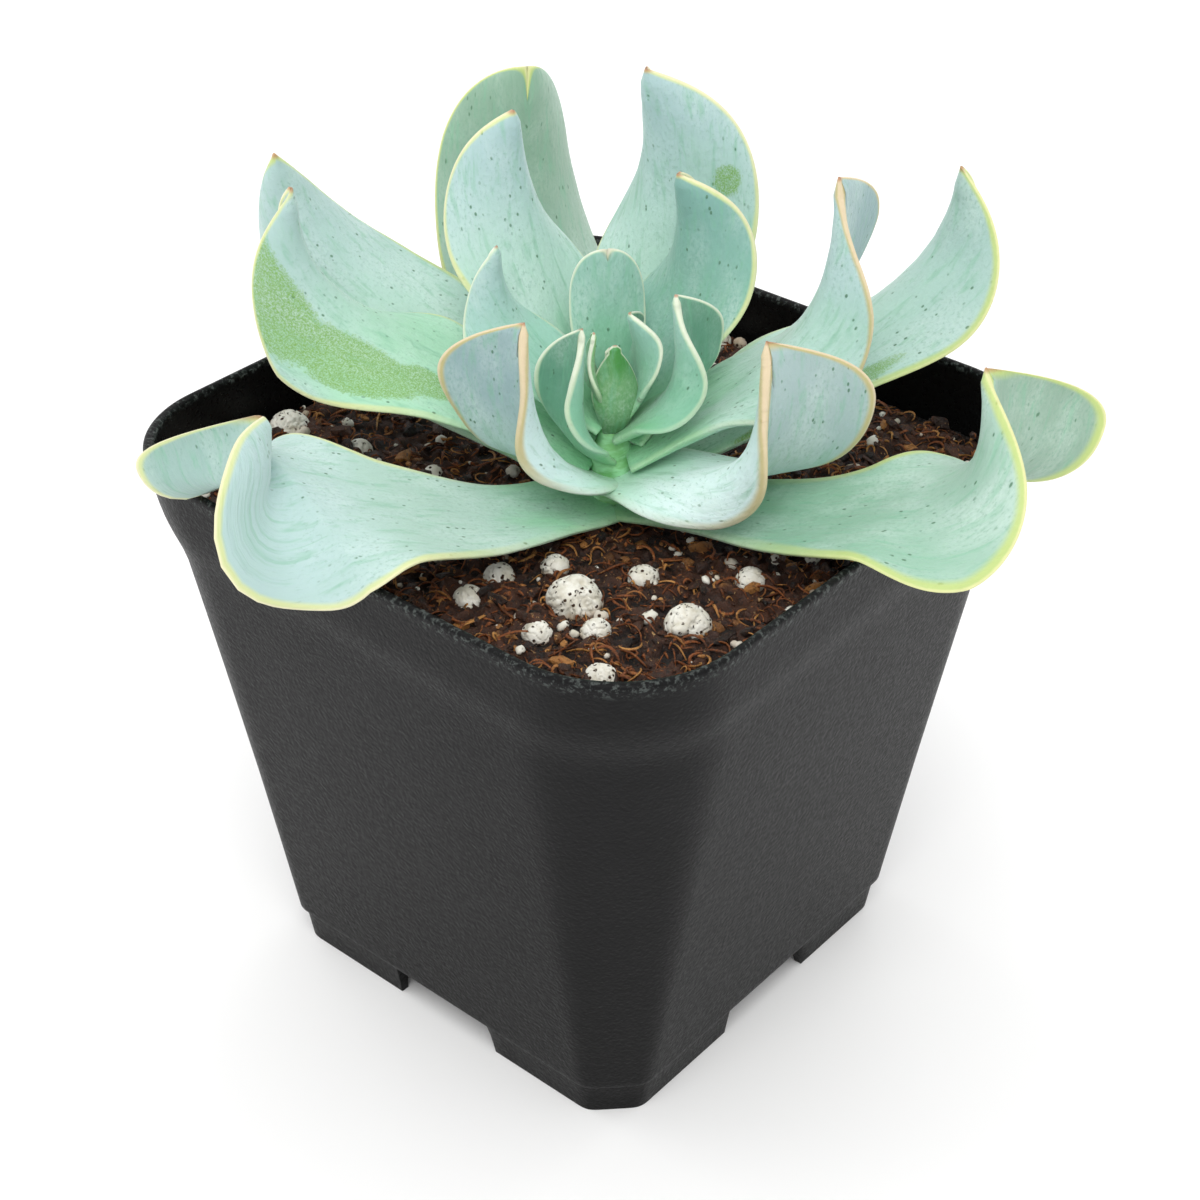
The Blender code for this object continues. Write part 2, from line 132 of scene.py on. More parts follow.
def noise(points: Array, size: float, seed: int, octaves: int = 1) -> Array:
    """Smooth value noise: random corners of a lattice blended by a smooth step, summed over octaves.

    Args:
        points: places, shape (..., 3).
        size: the width of one lattice cell.
        seed: picks another pattern.
        octaves: how many times finer layers at half the strength are added.

    Returns:
        Values of about -1 to 1.
    """
    total = np.zeros(points.shape[:-1])
    strength, weight = 1.0, 0.0
    for octave in range(octaves):
        scaled = points * (2.0**octave / size)
        cell = np.floor(scaled).astype(np.int64)
        part = scaled - cell
        part = part * part * (3.0 - 2.0 * part)
        for corner in np.ndindex(2, 2, 2):
            at = np.array(corner)
            share = np.prod(np.where(at == 1, part, 1.0 - part), axis=-1)
            total += strength * share * lattice(cell + at, seed + octave)
        weight += strength
        strength *= 0.5
    return total / weight


# ---------------------------------------------------------------- meshes


def mesh_object(
    name: str,
    points: Array,
    quads: Array,
    triangles: Array,
    material: bpy.types.Material,
    uv: Array | None = None,
    fields: dict[str, Array] | None = None,
) -> bpy.types.Object:
    """Puts whole arrays of points and faces into a new smooth-shaded mesh object.

    Args:
        name: the object's name.
        points: (n, 3) in metres.
        quads: (q, 4) point numbers.
        triangles: (t, 3) point numbers.
        material: the object's only material.
        uv: (n, 2) surface coordinates of each point.
        fields: a number for each point, by attribute name.

    Returns:
        The object, linked to the scene.
    """
    mesh = bpy.data.meshes.new(name)
    corners = np.concatenate([quads.reshape(-1), triangles.reshape(-1)]).astype(np.int32)
    sizes = np.concatenate([np.full(len(quads), 4), np.full(len(triangles), 3)])
    starts = np.concatenate([[0], np.cumsum(sizes)[:-1]]).astype(np.int32)
    mesh.vertices.add(len(points))
    mesh.vertices.foreach_set("co", np.ascontiguousarray(points, np.float32).reshape(-1))
    mesh.loops.add(len(corners))
    mesh.loops.foreach_set("vertex_index", corners)
    mesh.polygons.add(len(sizes))
    mesh.polygons.foreach_set("loop_start", starts)
    mesh.polygons.foreach_set("use_smooth", np.ones(len(sizes), bool))
    mesh.update(calc_edges=True)
    if uv is not None:
        layer = mesh.uv_layers.new(name="surface")
        layer.data.foreach_set("uv", uv[corners].astype(np.float32).reshape(-1))
    for key, values in (fields or {}).items():
        attribute = mesh.attributes.new(key, "FLOAT", "POINT")
        attribute.data.foreach_set("value", values.astype(np.float32).reshape(-1))
    mesh.materials.append(material)
    made = bpy.data.objects.new(name, mesh)
    bpy.context.scene.collection.objects.link(made)
    return made


def tube_faces(rows: int, across: int, wrap_rows: bool = False) -> Array:
    """Quads over a grid that is closed across, with its rows joined end to end if wanted.

    Args:
        rows: how many rows of points.
        across: how many points in each closed row.
        wrap_rows: whether the last row joins the first.

    Returns:
        (q, 4) point numbers.
    """
    low = np.arange(rows if wrap_rows else rows - 1)[:, None]
    here = np.arange(across)[None, :]
    after = (here + 1) % across
    high = (low + 1) % rows
    quads = [low * across + here, low * across + after, high * across + after, high * across + here]
    return np.stack(quads, axis=-1).reshape(-1, 4)


def fan(centre: int, ring: Array, outward: bool) -> Array:
    """Triangles from one point to a closed ring.

    Args:
        centre: the pole's point number.
        ring: the ring's point numbers in order.
        outward: turns the triangles round.

    Returns:
        (t, 3) point numbers.
    """
    after = np.roll(ring, -1)
    pair = (ring, after) if outward else (after, ring)
    return np.stack([np.full(len(ring), centre), *pair], axis=-1)


# ---------------------------------------------------------------- shaders


class Shader:
    """A material's node tree, with short ways to add and join nodes."""

    def __init__(self, name: str) -> None:
        """Starts a material with a Principled BSDF.

        Args:
            name: the material's name.
        """
        self.material = bpy.data.materials.new(name)
        self.material.use_nodes = True
        self.tree = self.material.node_tree
        self.surface = self.tree.nodes["Principled BSDF"]
        self.color: Socket | None = None

    def node(self, kind: str, **settings: object) -> bpy.types.Node:
        """Adds a node and sets its properties.

        Args:
            kind: the node's type.
            settings: its properties by name.

        Returns:
            The node.
        """
        made = self.tree.nodes.new(kind)
        for key, value in settings.items():
            setattr(made, key, value)
        return made

    def feed(self, socket: Socket, value: object) -> None:
        """Links a socket from another, or sets it to a number, a colour or a vector.

        Args:
            socket: the socket that takes the value.
            value: another socket, a number, a linear colour or a vector.
        """
        if isinstance(value, Socket):
            self.tree.links.new(value, socket)
        elif isinstance(value, tuple) and len(value) == 3 and socket.type == "RGBA":
            socket.default_value = (*value, 1.0)
        else:
            socket.default_value = value

    def set(self, **values: float | Color) -> None:
        """Sets the Principled BSDF's own sockets, with _ for a space."""
        for key, value in values.items():
            self.feed(self.surface.inputs[key.replace("_", " ")], value)

    def place(self) -> Socket:
        """Object coordinates, in metres."""
        return self.node("ShaderNodeTexCoord").outputs["Object"]

    def spot(self, key: str) -> Socket:
        """A number stored on the mesh's points."""
        return self.node("ShaderNodeAttribute", attribute_name=key).outputs["Fac"]

    def scaled(self, source: Socket, scale: Color, shift: Color = (0, 0, 0)) -> Socket:
        """Coordinates multiplied by a scale and moved by a shift.

        Args:
            source: coordinates.
            scale: a factor for each axis.
            shift: the move along each axis.

        Returns:
            The new coordinates.
        """
        made = self.node("ShaderNodeMapping")
        self.feed(made.inputs["Vector"], source)
        made.inputs["Scale"].default_value = scale
        made.inputs["Location"].default_value = shift
        return made.outputs["Vector"]

    def noise(
        self, source: Socket, scale: float, detail: float = 2.0, rough: float = 0.5, twist: float = 0.0
    ) -> Socket:
        """Noise of `scale` features to the unit.

        Args:
            source: coordinates.
            scale: features to the unit.
            detail: how many finer layers it has.
            rough: how strong the finer layers are.
            twist: how far they are pushed about.

        Returns:
            A value of about 0 to 1.
        """
        made = self.node("ShaderNodeTexNoise")
        self.feed(made.inputs["Vector"], source)
        made.inputs["Scale"].default_value = scale
        made.inputs["Detail"].default_value = detail
        made.inputs["Roughness"].default_value = rough
        made.inputs["Distortion"].default_value = twist
        return made.outputs["Fac"]

    def cells(self, source: Socket, scale: float) -> Socket:
        """Distance to the nearest of many scattered points, in cells.

        Args:
            source: coordinates.
            scale: points to the unit.

        Returns:
            The distance.
        """
        made = self.node("ShaderNodeTexVoronoi")
        self.feed(made.inputs["Vector"], source)
        made.inputs["Scale"].default_value = scale
        return made.outputs["Distance"]

    def span(
        self, value: Socket, low: float, high: float, to_low: float = 0.0, to_high: float = 1.0
    ) -> Socket:
        """Maps low..high smoothly to to_low..to_high.

        Args:
            value: the number to map.
            low: maps to `to_low`; it may be above `high`.
            high: maps to `to_high`.
            to_low: the result at `low`.
            to_high: the result at `high`.

        Returns:
            The mapped number.
        """
        made = self.node("ShaderNodeMapRange", interpolation_type="SMOOTHSTEP")
        self.feed(made.inputs["Value"], value)
        for key, number in (("From Min", low), ("From Max", high), ("To Min", to_low), ("To Max", to_high)):
            made.inputs[key].default_value = number
        return made.outputs["Result"]

    def math(self, operation: str, first: object, second: object) -> Socket:
        """Arithmetic on two numbers.

        Args:
            operation: the Math node's operation.
            first: a socket or a number.
            second: a socket or a number.

        Returns:
            The result.
        """
        made = self.node("ShaderNodeMath", operation=operation)
        self.feed(made.inputs[0], first)
        self.feed(made.inputs[1], second)
        return made.outputs[0]

    def times(self, first: object, second: object) -> Socket:
        """The product of two numbers."""
        return self.math("MULTIPLY", first, second)

    def plus(self, first: object, second: object) -> Socket:
        """The sum of two numbers."""
        return self.math("ADD", first, second)

    def swing(self, value: Socket, amount: float) -> Socket:
        """How far a value is from one half, times an amount."""
        return self.times(self.math("SUBTRACT", value, 0.5), amount)

    def blend(self, share: object, first: object, second: object) -> Socket:
        """Mixes two colours by a share.

        Args:
            share: 0 for the first colour, 1 for the second.
            first: a socket or a linear colour.
            second: a socket or a linear colour.

        Returns:
            The mixed colour.
        """
        made = self.node("ShaderNodeMix", data_type="RGBA")
        self.feed(made.inputs["Factor"], share)
        self.feed(made.inputs[6], first)
        self.feed(made.inputs[7], second)
        return made.outputs[2]

    def ground(self, share: object, first: Rgb, second: Rgb) -> None:
        """Starts the surface's colour: a mix of two display colours by a share."""
        self.color = self.blend(share, tone(*first), tone(*second))

    def coat(self, share: object, color: Rgb) -> None:
        """Lays a display colour over the surface's colour by a share."""
        self.color = self.blend(share, self.color, tone(*color))

    def bump(self, *layers: tuple[Socket, float]) -> None:
        """Adds relief: each layer is a height and how deep it is, in millimetres.

        Args:
            layers: a height and its depth, for each layer from the broadest.
        """
        normal = None
        for height, depth in layers:
            made = self.node("ShaderNodeBump")
            made.inputs["Distance"].default_value = depth * MM
            self.feed(made.inputs["Height"], height)
            if normal:
                self.feed(made.inputs["Normal"], normal)
            normal = made.outputs["Normal"]
        self.feed(self.surface.inputs["Normal"], normal)


# ---------------------------------------------------------------- finishes


# A leaf's patterns: features to the surface unit, across the leaf and along it.
BROAD = (14, 7, 1)
STREAK = (90, 16, 1)
GRAIN = (240, 150, 1)
SPOTS = (88, 56, 1)
SPARSE = (50, 26, 1)
SPECKLE = (520, 420, 1)
CRACKLE = (150, 95, 1)


class Finish:
    """A way to paint a shader's colour, gloss and relief. Each finish below is one."""

    def paint(self, made: Shader) -> None:
        """Paints the shader."""
        raise NotImplementedError

    def build(self, name: str) -> bpy.types.Material:
        """A new material with this finish.

        Args:
            name: the material's name.

        Returns:
            The material.
        """
        made = Shader(name)
        self.paint(made)
        made.feed(made.surface.inputs["Base Color"], made.color)
        return made.material


class Margin(Enum):
    """The colours that a leaf's margin can have: its outer rim and the band beside it."""

    CREAM = ((232, 226, 188), (214, 220, 152))
    LIME = ((226, 224, 166), (190, 206, 120))
    TAN = ((226, 206, 176), (196, 178, 116))
    WHITE = ((232, 236, 216), (206, 224, 190))


@dataclass(frozen=True)
class LeafFinish(Finish):
    """A powdery leaf: green at its base, blue-grey at its end, with dark flecks and a pale margin."""

    margin: Margin = Margin.CREAM
    margin_width: float = 0.9
    base: Rgb = (146, 212, 164)
    middle: Rgb = (180, 214, 200)
    end: Rgb = (170, 198, 196)
    # The scoop colour below is painted shade: a darker underside where the leaf curls into a scoop.
    scoop_shade: Rgb = (156, 186, 180)
    rubbed: Rgb = (122, 168, 84)
    powder: Rgb = (218, 236, 228)
    vein: Rgb = (120, 182, 148)
    pore: Rgb = (104, 158, 130)
    fleck: Rgb = (76, 122, 92)
    tip: Rgb = (176, 116, 84)
    flecks: float = 1.0
    point: float = 0.8
    seed: float = 0.0

    def paint(self, made: Shader) -> None:
        """Paints what the class's words say.

        Args:
            made: the shader.
        """
        uv = made.node("ShaderNodeUVMap", uv_map="surface").outputs["UV"]
        shift = (self.seed * 3.7, self.seed * 1.9, self.seed)
        along, margin, under, rubbed = (made.spot(key) for key in ("along", "margin", "under", "rubbed"))
        broad = made.noise(made.scaled(uv, BROAD, shift), 1.0, 3.0, 0.55)
        streak = made.noise(made.scaled(uv, STREAK, shift), 1.0, 3.0, 0.6, 0.4)
        grain = made.noise(made.scaled(uv, GRAIN, shift), 1.0, 3.0, 0.7)
        # Green at the base, then the middle and end colours, with uneven borders. The underside, which curls into
        # a scoop under each fold, is painted darker towards the end as painted shade.
        wander = made.plus(along, made.swing(broad, 0.5))
        made.ground(made.span(wander, 0.02, 0.42), self.base, self.middle)
        made.coat(made.span(wander, 0.45, 0.92), self.end)
        made.coat(made.times(under, made.span(along, 0.3, 0.75)), self.scoop_shade)
        # White powder in clouds, faint long veins and dark pores.
        white = made.times(made.span(broad, 0.40, 0.72), made.span(grain, 0.35, 0.70, 0.35, 1.0))
        made.coat(made.times(white, 0.42), self.powder)
        made.coat(made.span(streak, 0.50, 0.70, 0.0, 0.42), self.vein)
        pores = made.times(made.span(grain, 0.46, 0.34), made.span(broad, 0.35, 0.6, 0.25, 1.0))
        made.coat(made.times(pores, 0.30), self.pore)
        # Flecks: small round spots, only where a second noise lets them show.
        spots = made.cells(made.scaled(uv, SPOTS, shift), 1.0)
        sparse = made.noise(made.scaled(uv, SPARSE, shift), 1.0, 2.0, 0.6)
        fleck = made.times(made.span(spots, 0.19, 0.09), made.span(sparse, 0.44, 0.58))
        made.coat(made.times(fleck, 0.85 * self.flecks), self.fleck)
        # Rubbed places, ragged and mottled.
        worn = made.plus(made.plus(rubbed, made.swing(grain, 0.9)), made.swing(broad, 0.6))
        worn = made.times(made.span(worn, 0.42, 0.62), made.span(rubbed, 0.02, 0.2))
        speckle = made.noise(made.scaled(uv, SPECKLE, shift), 1.0, 2.0, 0.6)
        mottled = made.times(made.span(grain, 0.70, 0.40, 0.6, 1.0), made.span(speckle, 0.62, 0.42, 0.45, 1.0))
        made.coat(made.times(worn, mottled), self.rubbed)
        # The margin: a coloured band, a paler rim on it and the brown tip.
        rim, band = self.margin.value
        width = self.margin_width
        ragged = made.span(made.plus(margin, made.swing(broad, 0.9)), width, 0.35 * width)
        made.coat(made.times(ragged, made.span(along, 0.25, 0.6, 0.1, 0.85)), band)
        edge = made.span(made.plus(margin, made.times(grain, 0.3)), 0.50, 0.16, 0.0, 0.8)
        made.coat(made.times(edge, made.span(along, 0.45, 0.8, 0.12, 1.0)), rim)
        made.coat(made.span(along, 0.985, 0.998, 0.0, self.point), self.tip)
        made.feed(made.surface.inputs["Roughness"], made.span(grain, 0.2, 0.8, 0.46, 0.66))
        made.set(Sheen_Weight=0.18, Sheen_Roughness=0.5, Specular_IOR_Level=0.42)
        made.set(Subsurface_Weight=0.10, Subsurface_Scale=0.0025)
        made.surface.inputs["Subsurface Radius"].default_value = (0.8, 1.0, 0.6)
        crackle = made.cells(made.scaled(uv, CRACKLE, shift), 1.0)
        made.bump((streak, 0.16), (grain, 0.09), (crackle, 0.07), (made.times(fleck, -1.0), 0.06))


@dataclass(frozen=True)
class PotFinish(Finish):
    """Moulded charcoal plastic with a fine pebbled skin, a little dust and rubbed spots on its rim, and painted
    shade that darkens it towards the bottom.
    """

    deep: Rgb = (11, 11, 12)
    pale: Rgb = (17, 17, 18)
    pebble: Rgb = (22, 22, 23)
    inside: Rgb = (12, 12, 12)
    # The next colour is painted shade, laid on more strongly towards the bottom of the pot.
    foot: Rgb = (3, 3, 3)
    rim: Rgb = (118, 126, 122)

    def paint(self, made: Shader) -> None:
        """Paints what the class's words say.

        Args:
            made: the shader.
        """
        place = made.place()
        pebbles = made.noise(place, 1500.0, 2.0, 0.5, 0.3)
        pores = made.cells(place, 1900.0)
        cloud = made.noise(place, 45.0, 3.0, 0.6)
        made.ground(made.span(cloud, 0.3, 0.7), self.deep, self.pale)
        made.coat(made.span(pebbles, 0.42, 0.66, 0.0, 0.35), self.pebble)
        inside = made.spot("inside")
        made.coat(made.times(inside, 0.75), self.inside)
        # Painted shade: the wall darkens towards the bottom, up to 70% of the near-black colour at the feet and
        # fading out 85 mm up.
        height = made.node("ShaderNodeSeparateXYZ")
        made.feed(height.inputs[0], place)
        low = made.times(made.span(height.outputs[2], 0.085, 0.0), 0.7)
        made.coat(low, self.foot)
        wear = made.noise(place, 1300.0, 3.0, 0.7)
        worn = made.times(made.spot("lip"), made.span(wear, 0.50, 0.66))
        made.coat(made.times(worn, 0.35), self.rim)
        skin = made.span(pebbles, 0.3, 0.7, 0.38, 0.50)
        made.feed(made.surface.inputs["Roughness"], made.math("SUBTRACT", skin, made.times(inside, 0.12)))
        made.set(Specular_IOR_Level=0.13)
        made.bump((pebbles, 0.075), (pores, 0.03))


@dataclass(frozen=True)
class MixFinish(Finish):
    """Moist potting mix: dark red-brown crumbs with tan fibre, small painted glints of highlight, and painted
    shade in its gaps and hollows.
    """

    dark: Rgb = (20, 11, 8)
    brown: Rgb = (72, 39, 20)
    tan: Rgb = (176, 120, 62)
    fibre: Rgb = (168, 96, 40)
    # The glint colour is a painted highlight.
    glint: Rgb = (226, 186, 126)
    # The gap colour is painted shade between crumbs.
    gap: Rgb = (12, 7, 5)
    # Near-black: painted shade in the top's hollows, and the colour of the darkest loose crumbs.
    hollow_shade_and_dark_crumbs: Rgb = (10, 6, 4)
    rough: float = 0.62

    def paint(self, made: Shader) -> None:
        """Paints what the class's words say.

        Args:
            made: the shader.
        """
        place = made.place()
        tint = made.spot("tint")
        broad = made.noise(place, 160.0, 3.0, 0.6)
        fine = made.noise(place, 1100.0, 4.0, 0.75, 0.8)
        strand = made.noise(place, 380.0, 4.0, 0.7, 2.5)
        # Dark to brown, then tan where the tint is high. On the top the tint follows the relief, so this is partly
        # painted light and shade: lumps lighter, hollows darker. On crumbs and fibres the tint is random.
        made.ground(made.span(made.plus(broad, tint), 0.45, 1.25), self.dark, self.brown)
        made.coat(made.span(fine, 0.50, 0.68, 0.0, 0.7), self.brown)
        made.coat(made.span(strand, 0.60, 0.66, 0.0, 0.75), self.fibre)
        made.coat(made.span(tint, 0.72, 0.93), self.tan)
        # Painted highlights: small pale specks where the fine noise peaks.
        made.coat(made.span(fine, 0.63, 0.69, 0.0, 0.9), self.glint)
        # Painted shade: near-black gaps where the fine noise dips.
        made.coat(made.span(fine, 0.46, 0.34, 0.0, 0.9), self.gap)
        # Painted shade in the top's hollows, where the tint is lowest; on the crumbs it darkens those with the
        # lowest random tint.
        made.coat(made.span(tint, 0.12, -0.25, 0.0, 0.9), self.hollow_shade_and_dark_crumbs)
        made.feed(made.surface.inputs["Roughness"], made.span(fine, 0.3, 0.7, self.rough - 0.25, self.rough + 0.2))
        made.set(Specular_IOR_Level=0.5)
        made.bump((strand, 0.5), (fine, 0.45), (made.noise(place, 2600.0, 3.0, 0.6), 0.08))


@dataclass(frozen=True)
class PerliteFinish(Finish):
    """Dull white popped glass with small dark pits and crumbs of mix stuck in them."""

    white: Rgb = (238, 236, 226)
    shade: Rgb = (206, 200, 182)
    pit: Rgb = (62, 42, 28)
    stain: Rgb = (150, 116, 78)

    def paint(self, made: Shader) -> None:
        """Paints what the class's words say.

        Args:
            made: the shader.
        """
        place = made.place()
        cloud = made.noise(place, 420.0, 3.0, 0.6)
        pits = made.cells(place, 1150.0)
        sparse = made.noise(place, 700.0, 2.0, 0.6)
        pit = made.times(made.span(pits, 0.34, 0.22), made.span(sparse, 0.44, 0.52))
        made.ground(made.span(cloud, 0.35, 0.75), self.white, self.shade)
        made.coat(made.spot("soiled"), self.stain)
        made.coat(pit, self.pit)
        made.set(Roughness=0.88, Specular_IOR_Level=0.25)
        made.bump((cloud, 0.35), (made.noise(place, 1900.0, 2.0, 0.5), 0.06), (made.times(pit, -1.0), 0.2))


@dataclass(frozen=True)
class BarkFinish(Finish):
    """A dry chip of bark with long tan grain."""

    dark: Rgb = (92, 56, 26)
    pale: Rgb = (186, 134, 76)

    def paint(self, made: Shader) -> None:
        """Paints what the class's words say.

        Args:
            made: the shader.
        """
        grain = made.noise(made.scaled(made.place(), (500, 1700, 900)), 1.0, 4.0, 0.6, 0.5)
        made.ground(made.span(grain, 0.35, 0.68), self.dark, self.pale)
        made.set(Roughness=0.8)
        made.bump((grain, 0.35))


@dataclass(frozen=True)
class StemFinish(Finish):
    """The short green stem between the leaf bases."""

    green: Rgb = (164, 222, 172)
    dark: Rgb = (128, 190, 122)

    def paint(self, made: Shader) -> None:
        """Paints what the class's words say.

        Args:
            made: the shader.
        """
        bands = made.noise(made.scaled(made.place(), (300, 300, 900)), 1.0, 3.0, 0.6)
        made.ground(made.span(bands, 0.35, 0.65), self.dark, self.green)
        made.set(Roughness=0.6)
        made.bump((bands, 0.25))


# ---------------------------------------------------------------- pot

MERGE_WITHIN = 0.02  # millimetres
CRISP_PAST = 42  # degrees between two faces


@dataclass(frozen=True)
class Pot:
    """The square nursery pot, one closed surface: wall, lip, inside, floor, drain, underside and feet."""

    middle: Array
    top_width: float = 100.0
    bottom_width: float = 71.0
    height: float = 91.0
    wall: float = 1.3
    floor: float = 1.6
    foot: float = 5.6
    foot_inset: float = 0.6
    foot_gap: float = 18.0
    band_depth: float = 12.0
    band_step: float = 0.5
    corner_bottom: float = 7.5
    corner_middle: float = 13.4
    corner_shoulder: float = 19.3
    corner_band: float = 18.7
    corner_top: float = 18.5
    drain: float = 6.0
    corner_steps: int = 24
    side_steps: tuple[int, int] = (10, 14)

    def half(self, z: Array) -> Array:
        """Half the outside width at height z: a straight taper, less the feet's inset, plus the shoulder band.

        Args:
            z: heights.

        Returns:
            Half widths in millimetres.
        """
        taper = (self.bottom_width + (self.top_width - self.bottom_width) * z / self.height) / 2
        shoulder, below, above = self.height - self.band_depth, 3.0, 4.0
        proud = self.band_step * (1 - (z - shoulder) / self.band_depth)
        band = proud * rise(shoulder - below, shoulder + above, z)
        inset = self.foot_inset * (1 - rise(self.foot - 0.2, self.foot + 0.9, z))
        return taper + np.where(z > shoulder - below, band, 0) - inset

    def corner(self, z: Array) -> tuple[Array, Array]:
        """How far the corner is cut at height z, and how round that cut is, from 0 to 1.

        Args:
            z: heights.

        Returns:
            The cuts in millimetres and their roundnesses, both by straight lines between five levels.
        """
        shoulder = self.height - self.band_depth
        levels = [0, shoulder * 0.45, shoulder - 4, shoulder + 5, self.height]
        cuts = [self.corner_bottom, self.corner_middle, self.corner_shoulder, self.corner_band, self.corner_top]
        cut = np.interp(z, levels, cuts)
        roundness = np.interp(z, levels, [0.05, 0.45, 0.85, 1.0, 1.0])
        return cut, roundness

    def ring(self, half: Array, cut: Array, roundness: Array, z: Array) -> Array:
        """Square outlines, one for each height.

        A corner turns through 90 degrees from one side to the next. With roundness 1 it turns evenly,
        as a quarter circle does. With roundness 0 it turns only near both ends, as a chamfer with
        eased edges does. Each side is straight, with points close on both sides of the foot gap.

        Args:
            half: half widths, shape (rows,).
            cut: corner cuts.
            roundness: corner roundnesses.
            z: heights.

        Returns:
            (rows, columns, 3) in millimetres.
        """
        rows = np.shape(z)
        half, cut, roundness, z = (np.broadcast_to(value, rows)[:, None] for value in (half, cut, roundness, z))
        fine_steps = 200
        fine = np.linspace(0, 1, fine_steps + 1)[None, :]
        eased = 0.5 * rise(0.0, 0.30, fine) + 0.5 * rise(0.70, 1.0, fine)
        turn = (eased + (fine - eased) * roundness) * np.pi / 2
        steps = np.stack([np.sin(turn), np.cos(turn)], -1)
        summed = np.cumsum((steps[:, 1:] + steps[:, :-1]) / 2, axis=1)
        run = np.concatenate([np.zeros((len(turn), 1, 2)), summed], axis=1)
        run = run / run[:, -1:, :]
        pick = np.round(np.linspace(0, fine_steps, self.corner_steps + 1)).astype(int)
        corner_x = half - cut * run[:, pick, 0]
        corner_y = half - cut + cut * run[:, pick, 1]
        end, edge, close_by = half - cut, self.foot_gap / 2, 0.05
        outer = np.linspace(0, 1, self.side_steps[0] + 1)[None, 1:]
        inner = np.linspace(-1, 1, self.side_steps[1] + 1)[None, :]
        first = end + (edge + close_by - end) * outer
        last = -(edge + close_by) - (end - edge - close_by) * outer[:, :-1]
        side_x = np.concatenate([first, -inner * (edge - close_by) * np.ones_like(half), last], axis=1)
        side_y = np.broadcast_to(half, side_x.shape)
        quarter = np.stack([np.concatenate([corner_x, side_x], 1), np.concatenate([corner_y, side_y], 1)], -1)
        turns = []
        for number in range(4):
            cosine, sine = np.cos(number * np.pi / 2), np.sin(number * np.pi / 2)
            turns.append(quarter @ np.array([[cosine, sine], [-sine, cosine]]))
        flat_ring = np.concatenate(turns, axis=1)
        return np.concatenate([flat_ring, np.broadcast_to(z[..., None], (*flat_ring.shape[:2], 1))], axis=-1)

    def wall_rows(self, heights: Array, inset: float) -> Array:
        """Outlines of the wall at these heights, drawn in by `inset`."""
        cut, roundness = self.corner(heights)
        return self.ring(self.half(heights) - inset, cut - inset / 2, roundness, heights)

    def circle(self, like: Array, z: float) -> Array:
        """The drain's edge at height z, with its points at the same bearings as another outline's."""
        bearing = np.arctan2(like[:, 1], like[:, 0])
        return np.stack([self.drain * np.cos(bearing), self.drain * np.sin(bearing), np.full(len(bearing), z)], -1)

    def build(self) -> bpy.types.Object:
        """The whole pot: a closed profile carried round the square, so that every wall has its thickness.

        Returns:
            The pot.
        """
        top, foot = self.height, self.foot
        shoulder = top - self.band_depth
        lip_points, lip_drop = 9, 1.2
        low = np.array([0, 0.4, 2.4, foot - 0.3, foot - 0.05, foot + 0.4, foot + 0.9, foot + 1.6])
        near = shoulder + np.array([-1, -0.4, 0, 0.4, 0.8, 1.5])
        band = np.linspace(shoulder + 3, top - lip_drop, 7)
        outer = self.wall_rows(np.concatenate([low, np.linspace(foot + 4, shoulder - 2, 30), near, band]), 0.0)
        turn = np.radians(np.linspace(12, 168, lip_points))
        radius = self.wall / 2
        lip = [
            self.wall_rows(np.array([top - radius + radius * np.sin(angle)]), radius - radius * np.cos(angle))
            for angle in turn
        ]
        floor_top = foot + self.floor
        falling = [np.linspace(top - lip_drop, shoulder, 9), np.linspace(shoulder - 3, floor_top, 12)]
        inside = self.wall_rows(np.concatenate(falling), self.wall)
        edge = inside[-1]
        hole_top, hole_low = self.circle(edge, floor_top), self.circle(edge, foot)
        skirt = self.wall_rows(np.array([foot - 0.05, 2.4, 0.4, 0.0]), self.wall)
        shares = np.linspace(0, 1, 8)[1:, None, None]
        floor_in = edge[None] + (hole_top - edge)[None] * shares
        out_again = np.concatenate([[[[0.0]]], shares])
        under = hole_low[None] + (self.flat_at(skirt[0], foot) - hole_low)[None] * out_again
        points = np.concatenate([outer, *lip, inside, floor_in, under, skirt])
        row_count, columns = points.shape[:2]
        gap = np.minimum(np.abs(points[..., 0]), np.abs(points[..., 1])) < self.foot_gap / 2
        raised = gap & (points[..., 2] < foot)
        points[..., 2] = np.where(raised, foot, points[..., 2])
        is_inside = np.zeros((row_count, columns))
        is_inside[len(outer) + lip_points - 3:] = 1.0
        lip_share = np.zeros((row_count, columns))
        lip_share[len(outer) - 1:len(outer) + lip_points] = 1.0
        quads = tube_faces(row_count, columns, wrap_rows=True)
        made = mesh_object("pot_shell", points.reshape(-1, 3) * MM + self.middle, quads, NO_TRIANGLES,
                           PotFinish().build("charcoal_plastic"), fields={"inside": is_inside, "lip": lip_share})
        self.close(made)
        return made

    @staticmethod
    def flat_at(ring: Array, z: float) -> Array:
        """The same outline at another height.

        Args:
            ring: an outline, shape (columns, 3).
            z: the new height.

        Returns:
            The moved outline.
        """
        moved = ring.copy()
        moved[:, 2] = z
        return moved

    @staticmethod
    def close(piece: bpy.types.Object) -> None:
        """Merges the points that coincide at the feet, makes faces point outwards and keeps crisp edges.

        Args:
            piece: the pot's object.
        """
        work = bmesh.new()
        work.from_mesh(piece.data)
        bmesh.ops.remove_doubles(work, verts=work.verts, dist=MERGE_WITHIN * MM)
        bmesh.ops.recalc_face_normals(work, faces=work.faces)
        work.to_mesh(piece.data)
        work.free()
        piece.data.set_sharp_from_angle(angle=float(np.radians(CRISP_PAST)))


# ---------------------------------------------------------------- soil


